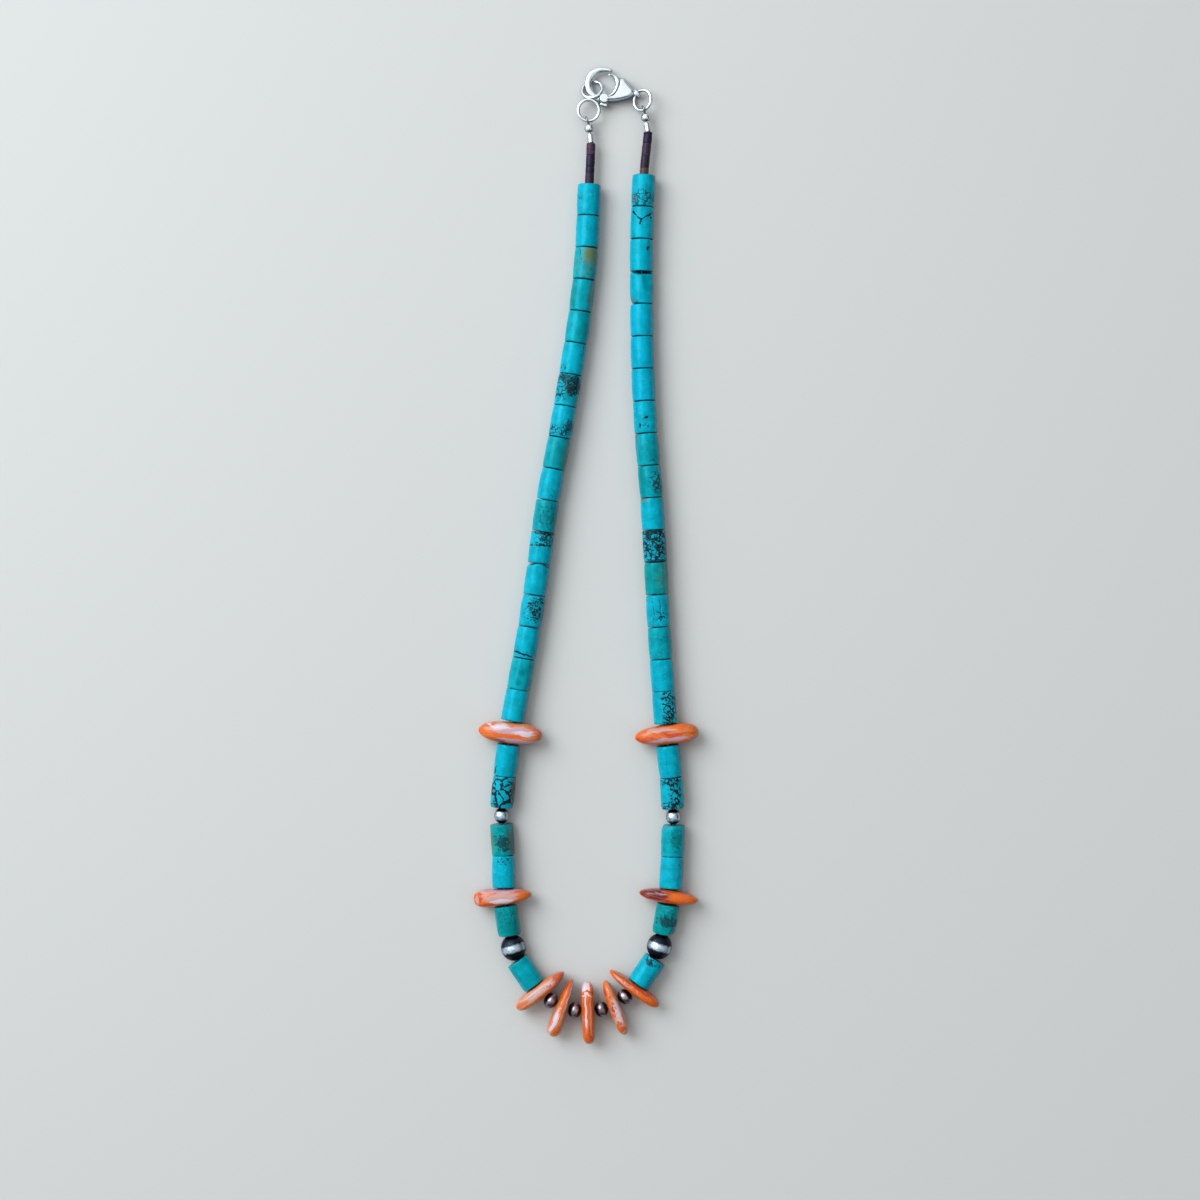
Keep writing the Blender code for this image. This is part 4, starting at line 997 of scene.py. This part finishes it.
def add_claw(silver, eye_along):
    """The claw's body with hook and eye, and its lever."""
    gate = []
    for angle, inner, wide in reversed(smooth_rows([tuple(row) for row in LEVER_SECTIONS[:6]], 3)):
        out = HOOK_INNER_RADIUS * inner + LEVER_WIDTH * wide + GAP
        turn = math.radians(angle)
        gate.append((out * math.cos(turn), out * math.sin(turn)))
    back = smooth_rows([(c.along * CLAW_REACH, c.across * CLAW_HALF) for c in BODY_BACK], 4)
    body = block([tuple(p) for p in back] + gate, -CLAW_MID, CLAW_MID, BODY_DOME)
    cheek = block(disc_outline(PIVOT, LUG_RADIUS + GAP, 32), -CLAW_MID + GAP, CLAW_MID - GAP, CHEEK_DOME)
    hook = loops_mesh(band_loops(HOOK_SECTIONS, HOOK_WIDTH, HOOK_HEIGHT))
    last = HOOK_SECTIONS[0]
    thick = HOOK_WIDTH * last.width / 2
    nose = round_ball(plan(last.angle) * (HOOK_INNER_RADIUS * last.inner + thick), thick, NOSE_RISE)
    slot_side = PIVOT[0] - LUG_RADIUS - GAP
    root = block(rectangle(slot_side - ROOT_LENGTH, slot_side + GAP, PIVOT[1] - ROOT_LOW, PIVOT[1] + ROOT_HIGH),
                 -CLAW_MID + 2 * GAP, HOOK_HEIGHT / 2)
    eye = Vector((CLAW_REACH, 0, 0))
    half = eye_along * EYE_WIDTH / 2
    ring = cylinder(eye - half, eye + half, EYE_RADIUS)
    slot_height = LEVER_HEIGHT / 2 + GAP
    slot = block(disc_outline(PIVOT, LUG_RADIUS + GAP, 32), -slot_height, slot_height)
    hole = cylinder(eye - half * 4, eye + half * 4, EYE_BORE)
    pin = block(disc_outline(PIVOT, PIN_RADIUS, 16), -CLAW_MID + 2 * GAP, CLAW_MID - 2 * GAP)
    place = Matrix.Translation(claw_origin * MM) @ Matrix.Rotation(math.radians(CLAW_TURN), 4, "Z")
    skin = fused("claw", [body, cheek, hook, nose, root, ring], [slot, hole], CLAW_VOXEL, CLAW_SMOOTHING, [pin])
    add_piece("claw_body", skin, silver, place, ["clasp_body"])
    gate_bar = loops_mesh(band_loops(LEVER_SECTIONS, LEVER_WIDTH, LEVER_HEIGHT))
    tip = round_ball(Vector((*LEVER_TIP, 0)), LEVER_TIP_RADIUS * TIP_SWELL)
    tall = LEVER_HEIGHT / 2
    lug = block(disc_outline(PIVOT, LUG_RADIUS, 32), -tall, tall, LUG_DOME)
    level = PIVOT[1] - TAB_DROP
    stem = block(rectangle(PIVOT[0] - STEM_HALF, PIVOT[0] + STEM_HALF, level, PIVOT[1] - STEM_HALF), -tall, tall)
    tab = block(disc_outline((PIVOT[0] + GAP, level), TAB_WIDTH / 2, 32, TAB_LENGTH - TAB_WIDTH),
                -TAB_HEIGHT / 2, TAB_HEIGHT / 2, TAB_DOME)
    bore = block(disc_outline(PIVOT, PIN_RADIUS + GAP, 24), -CLAW_MID, CLAW_MID)
    skin = fused("lever", [gate_bar, tip, lug, stem, tab], [bore], LEVER_VOXEL, LEVER_SMOOTHING)
    add_piece("claw_lever", skin, silver, place, ["clasp_lever"], "clasp_lever")


# How the wire's rings of vertices are told apart, in millimetres
RING_AHEAD = 0.35
RING_DEPTH = 0.3
RING_SPAN = 0.6


def wire_points(start, towards, count):
    """The wire's middle between the beads, in order from a start, found from the wire's own vertices."""
    vertices = [v.co.copy() for v in frame["nodes"]["beading_wire"].data.vertices]
    points = []
    here = start
    heading = (towards - start).normalized()
    for _ in range(count):
        ahead = [v for v in vertices if (v - here).dot(heading) > RING_AHEAD * MM]
        nearest = min(ahead, key=lambda v: (v - here).length)
        ring = [v for v in ahead if abs((v - nearest).dot(heading)) < RING_DEPTH * MM
                and (v - nearest).length < RING_SPAN * MM]
        middle = sum(ring, Vector()) / len(ring)
        points.append(middle)
        heading = (middle - here).normalized()
        here = middle
    return points


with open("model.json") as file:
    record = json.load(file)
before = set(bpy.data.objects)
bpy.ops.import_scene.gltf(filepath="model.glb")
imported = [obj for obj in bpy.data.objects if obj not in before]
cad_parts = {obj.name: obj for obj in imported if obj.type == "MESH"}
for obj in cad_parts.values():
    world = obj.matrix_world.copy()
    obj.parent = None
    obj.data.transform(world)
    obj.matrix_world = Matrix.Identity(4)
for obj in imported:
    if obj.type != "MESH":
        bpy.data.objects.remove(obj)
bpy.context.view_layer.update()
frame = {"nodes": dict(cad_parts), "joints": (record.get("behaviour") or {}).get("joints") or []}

# Where things are: the claw from its pivot, and the beads from the wire through them
pivot = Vector(frame["joints"][0]["pos_m"]) / MM
claw_origin = pivot - PIVOT[0] * plan(CLAW_TURN) - PIVOT[1] * plan(CLAW_TURN + 90)
ring_place, ring_along, right_held = jump_ring_frame()
crimp_height = right_held.z
upper_ring, lower_ring, left_held = link_frame()
centres = {}
for node in frame["nodes"]:
    low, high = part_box(node)
    centres[node] = (low + high) / 2

string = [f"heishi_left_{k + 1}" for k in range(HEISHI_COUNT["left"])]
string += [f"stone_left_{k + 1}" for k in range(TUBES_IN_RUN)]
LOWER_SIDE = ["slice_upper_{}", "stone_{}_18", "stone_{}_19", "silver_small_{}", "stone_{}_20", "stone_{}_21",
              "slice_lower_{}", "stone_{}_22", "silver_large_{}", "stone_{}_23"]
string += [name.format("left") for name in LOWER_SIDE]
string += ["slice_fringe_a", "spacer_1", "slice_fringe_b", "spacer_2", "slice_fringe_c", "spacer_3",
           "slice_fringe_d", "spacer_4", "slice_fringe_e"]
string += [name.format("right") for name in reversed(LOWER_SIDE)]
string += [f"stone_right_{k}" for k in range(TUBES_IN_RUN, 0, -1)]
string += [f"heishi_right_{k + 1}" for k in reversed(range(HEISHI_COUNT["right"]))]
joints = wire_points(centres["crimp_left"], centres["heishi_left"], len(string) + 1)

silver = silver_material("polished_silver", 0.2)
for number, name in enumerate(string):
    kind, _, rest = name.partition("_")
    start, end = joints[number], joints[number + 1]
    along = (end - start).normalized() * MM
    touches = [k for k in (number - 1, number + 1) if 0 <= k < len(string) and string[k].startswith("slice")]
    reach = [SLICE_REACH if k in touches else END_REACH.get(kind, -TOUCHING) for k in (number - 1, number + 1)]
    start, end = start - along * reach[0], end + along * reach[1]
    # Left of the middle the string runs down from the clasp, so its beads are turned round
    high_end, low_end = (start, end) if number < len(string) / 2 else (end, start)
    side = "left" if "left" in name else "right"
    if kind == "stone":
        place = int(rest.rpartition("_")[2])
        node = f"turquoise_run_{side}" if place <= TUBES_IN_RUN else f"turquoise_{side}_{place - TUBES_IN_RUN}"
        add_stone(name, f"{side}_{place}", node, low_end, high_end, number * 0.37)
    elif kind == "slice":
        add_slice(rest, start, end)
    elif kind == "heishi":
        place = int(rest.rpartition("_")[2]) - 1
        profile = rounded_profile((end - start).length / MM, HEISHI_RADIUS, HEISHI_EDGE, 0.03, 4, BORE_RADIUS)
        add_piece(name, loops_mesh(turned(profile, BEAD_SIDES), True),
                  heishi_material(name, HEISHI_TONES[side][place], number * 0.9),
                  bead_place(low_end, high_end), [f"heishi_{side}"])
    elif kind == "spacer":
        add_ball(name, f"silver_{name}", low_end, high_end, SPACER_RADIUS, spacer_material(name, number * 1.3))
    else:
        radius, *looks = SILVER_BALLS[rest.partition("_")[0]]
        add_ball(f"ball_{rest}", name, low_end, high_end, radius, ball_material(name, radius, *looks))

# Crimps at each end, and the wire with its loops
loops = {}
for side, joint, held in (("left", joints[0], left_held), ("right", joints[-1], right_held)):
    ball = centres[f"crimp_ball_{side}"]
    sleeve = centres[f"crimp_{side}"]
    along = (ball - sleeve).normalized()
    reach = along * CRIMP_TUBE_LENGTH * MM / 2
    profile = rounded_profile(CRIMP_TUBE_LENGTH, CRIMP_TUBE_RADIUS, CRIMP_EDGE, 0.0, 6, CRIMP_TUBE_BORE)
    add_piece(f"crimp_sleeve_{side}", loops_mesh(turned(profile, BEAD_SIDES), True), silver,
              bead_place(sleeve - reach, sleeve + reach), [f"crimp_{side}"])
    reach = along * CRIMP_BALL_RADIUS * MM
    add_ball(f"crimp_bead_{side}", f"crimp_ball_{side}", ball - reach, ball + reach, CRIMP_BALL_RADIUS, silver,
             CRIMP_BALL_BORE)
    loops[side] = end_loop(held, (ball + reach) / MM, (ball - reach) / MM)
path = loops["left"] + [joint / MM for joint in joints] + loops["right"][::-1]
wire = Paint("coated_wire", 0.3, 1.0)
wire.colour(wire.mix(wire.noise(wire.place, 3.0), *WIRE_TONES))
add_piece("wire", loops_mesh(tube_loops(path, WIRE_RADIUS, WIRE_SIDES)), wire.material, Matrix(),
          ["beading_wire"])

# Rings and claw
add_piece("ring_right", loops_mesh(ring_loops(*ring_place), True), silver, Matrix(), ["jump_ring"])
link = add_piece("link_left", loops_mesh(ring_loops(*upper_ring), True), silver, Matrix(), ["end_link"])
bm = loops_mesh(ring_loops(*lower_ring), True)
bmesh.ops.scale(bm, vec=(MM, MM, MM), verts=bm.verts)
combine(link, bm, "UNION")
flat_along = Vector((ring_along.x, ring_along.y, 0)).normalized()
flat_along.rotate(Matrix.Rotation(math.radians(-CLAW_TURN), 3, "Z"))
add_claw(silver, flat_along)

# ---- Stage: pale floor, soft light from the upper left, and the photograph's view straight down
FLOOR_HALF = 1.5
FLOOR_DROP = 0.02 * MM
bm = bmesh.new()
bmesh.ops.create_grid(bm, x_segments=1, y_segments=1, size=FLOOR_HALF)
floor = in_scene("floor", mesh_of("floor", bm))
floor.location.z = -FLOOR_DROP
floor_paint = Paint("floor", 0.75)
floor_paint.constant("Base Color", FLOOR_COLOUR)
floor.data.materials.append(floor_paint.material)

SCENE_MIDDLE = Vector((3.62, -10.84, 0)) * MM
Lamp = namedtuple("Lamp", "name place size power colour")
LAMPS = [
    Lamp("window", (-0.60, 0.42, 0.75), 0.80, 10.5, (0.90, 0.97, 1.0)),
    Lamp("fill", (0.7, -0.3, 0.8), 0.9, 1.2, (1.0, 0.98, 0.96)),
]
for row in LAMPS:
    light = bpy.data.lights.new(row.name, "AREA")
    light.shape = "DISK"
    light.size = row.size
    light.energy = row.power
    light.color = row.colour
    lamp = in_scene(row.name, light)
    lamp.location = Vector(row.place)
    lamp.rotation_mode = "QUATERNION"
    lamp.rotation_quaternion = (SCENE_MIDDLE - lamp.location).to_track_quat("-Z", "Y")

world = bpy.data.worlds.new("studio")
bpy.context.scene.world = world
world.use_nodes = True
tree = world.node_tree
background = tree.nodes["Background"]
direction = tree.nodes.new("ShaderNodeTexCoord").outputs["Generated"]
towards = tree.nodes.new("ShaderNodeVectorMath")
towards.operation = "DOT_PRODUCT"
towards.inputs[1].default_value = Vector((-0.55, 0.45, 0.70)).normalized()
tree.links.new(direction, towards.inputs[0])
glow = tree.nodes.new("ShaderNodeMapRange")
glow.interpolation_type = "SMOOTHSTEP"
for name, value in (("From Min", -0.1), ("From Max", 1.0), ("To Min", 0.04), ("To Max", 1.15)):
    glow.inputs[name].default_value = value
tree.links.new(towards.outputs["Value"], glow.inputs["Value"])
tree.links.new(glow.outputs["Result"], background.inputs["Strength"])
background.inputs["Color"].default_value = (0.95, 0.97, 1.0, 1)

FRAME_WIDTH = 312 * MM
CAMERA_HEIGHT = 0.62
SENSOR = 36.0
camera_data = bpy.data.cameras.new("camera")
camera_data.sensor_width = SENSOR
camera_data.lens = SENSOR * CAMERA_HEIGHT / FRAME_WIDTH
camera_data.clip_start = 0.01
camera = in_scene("camera", camera_data)
camera.location = SCENE_MIDDLE + UP * (CAMERA_HEIGHT + TUBE_RADIUS * MM)
bpy.context.scene.camera = camera
bpy.context.scene.view_settings.view_transform = "Standard"
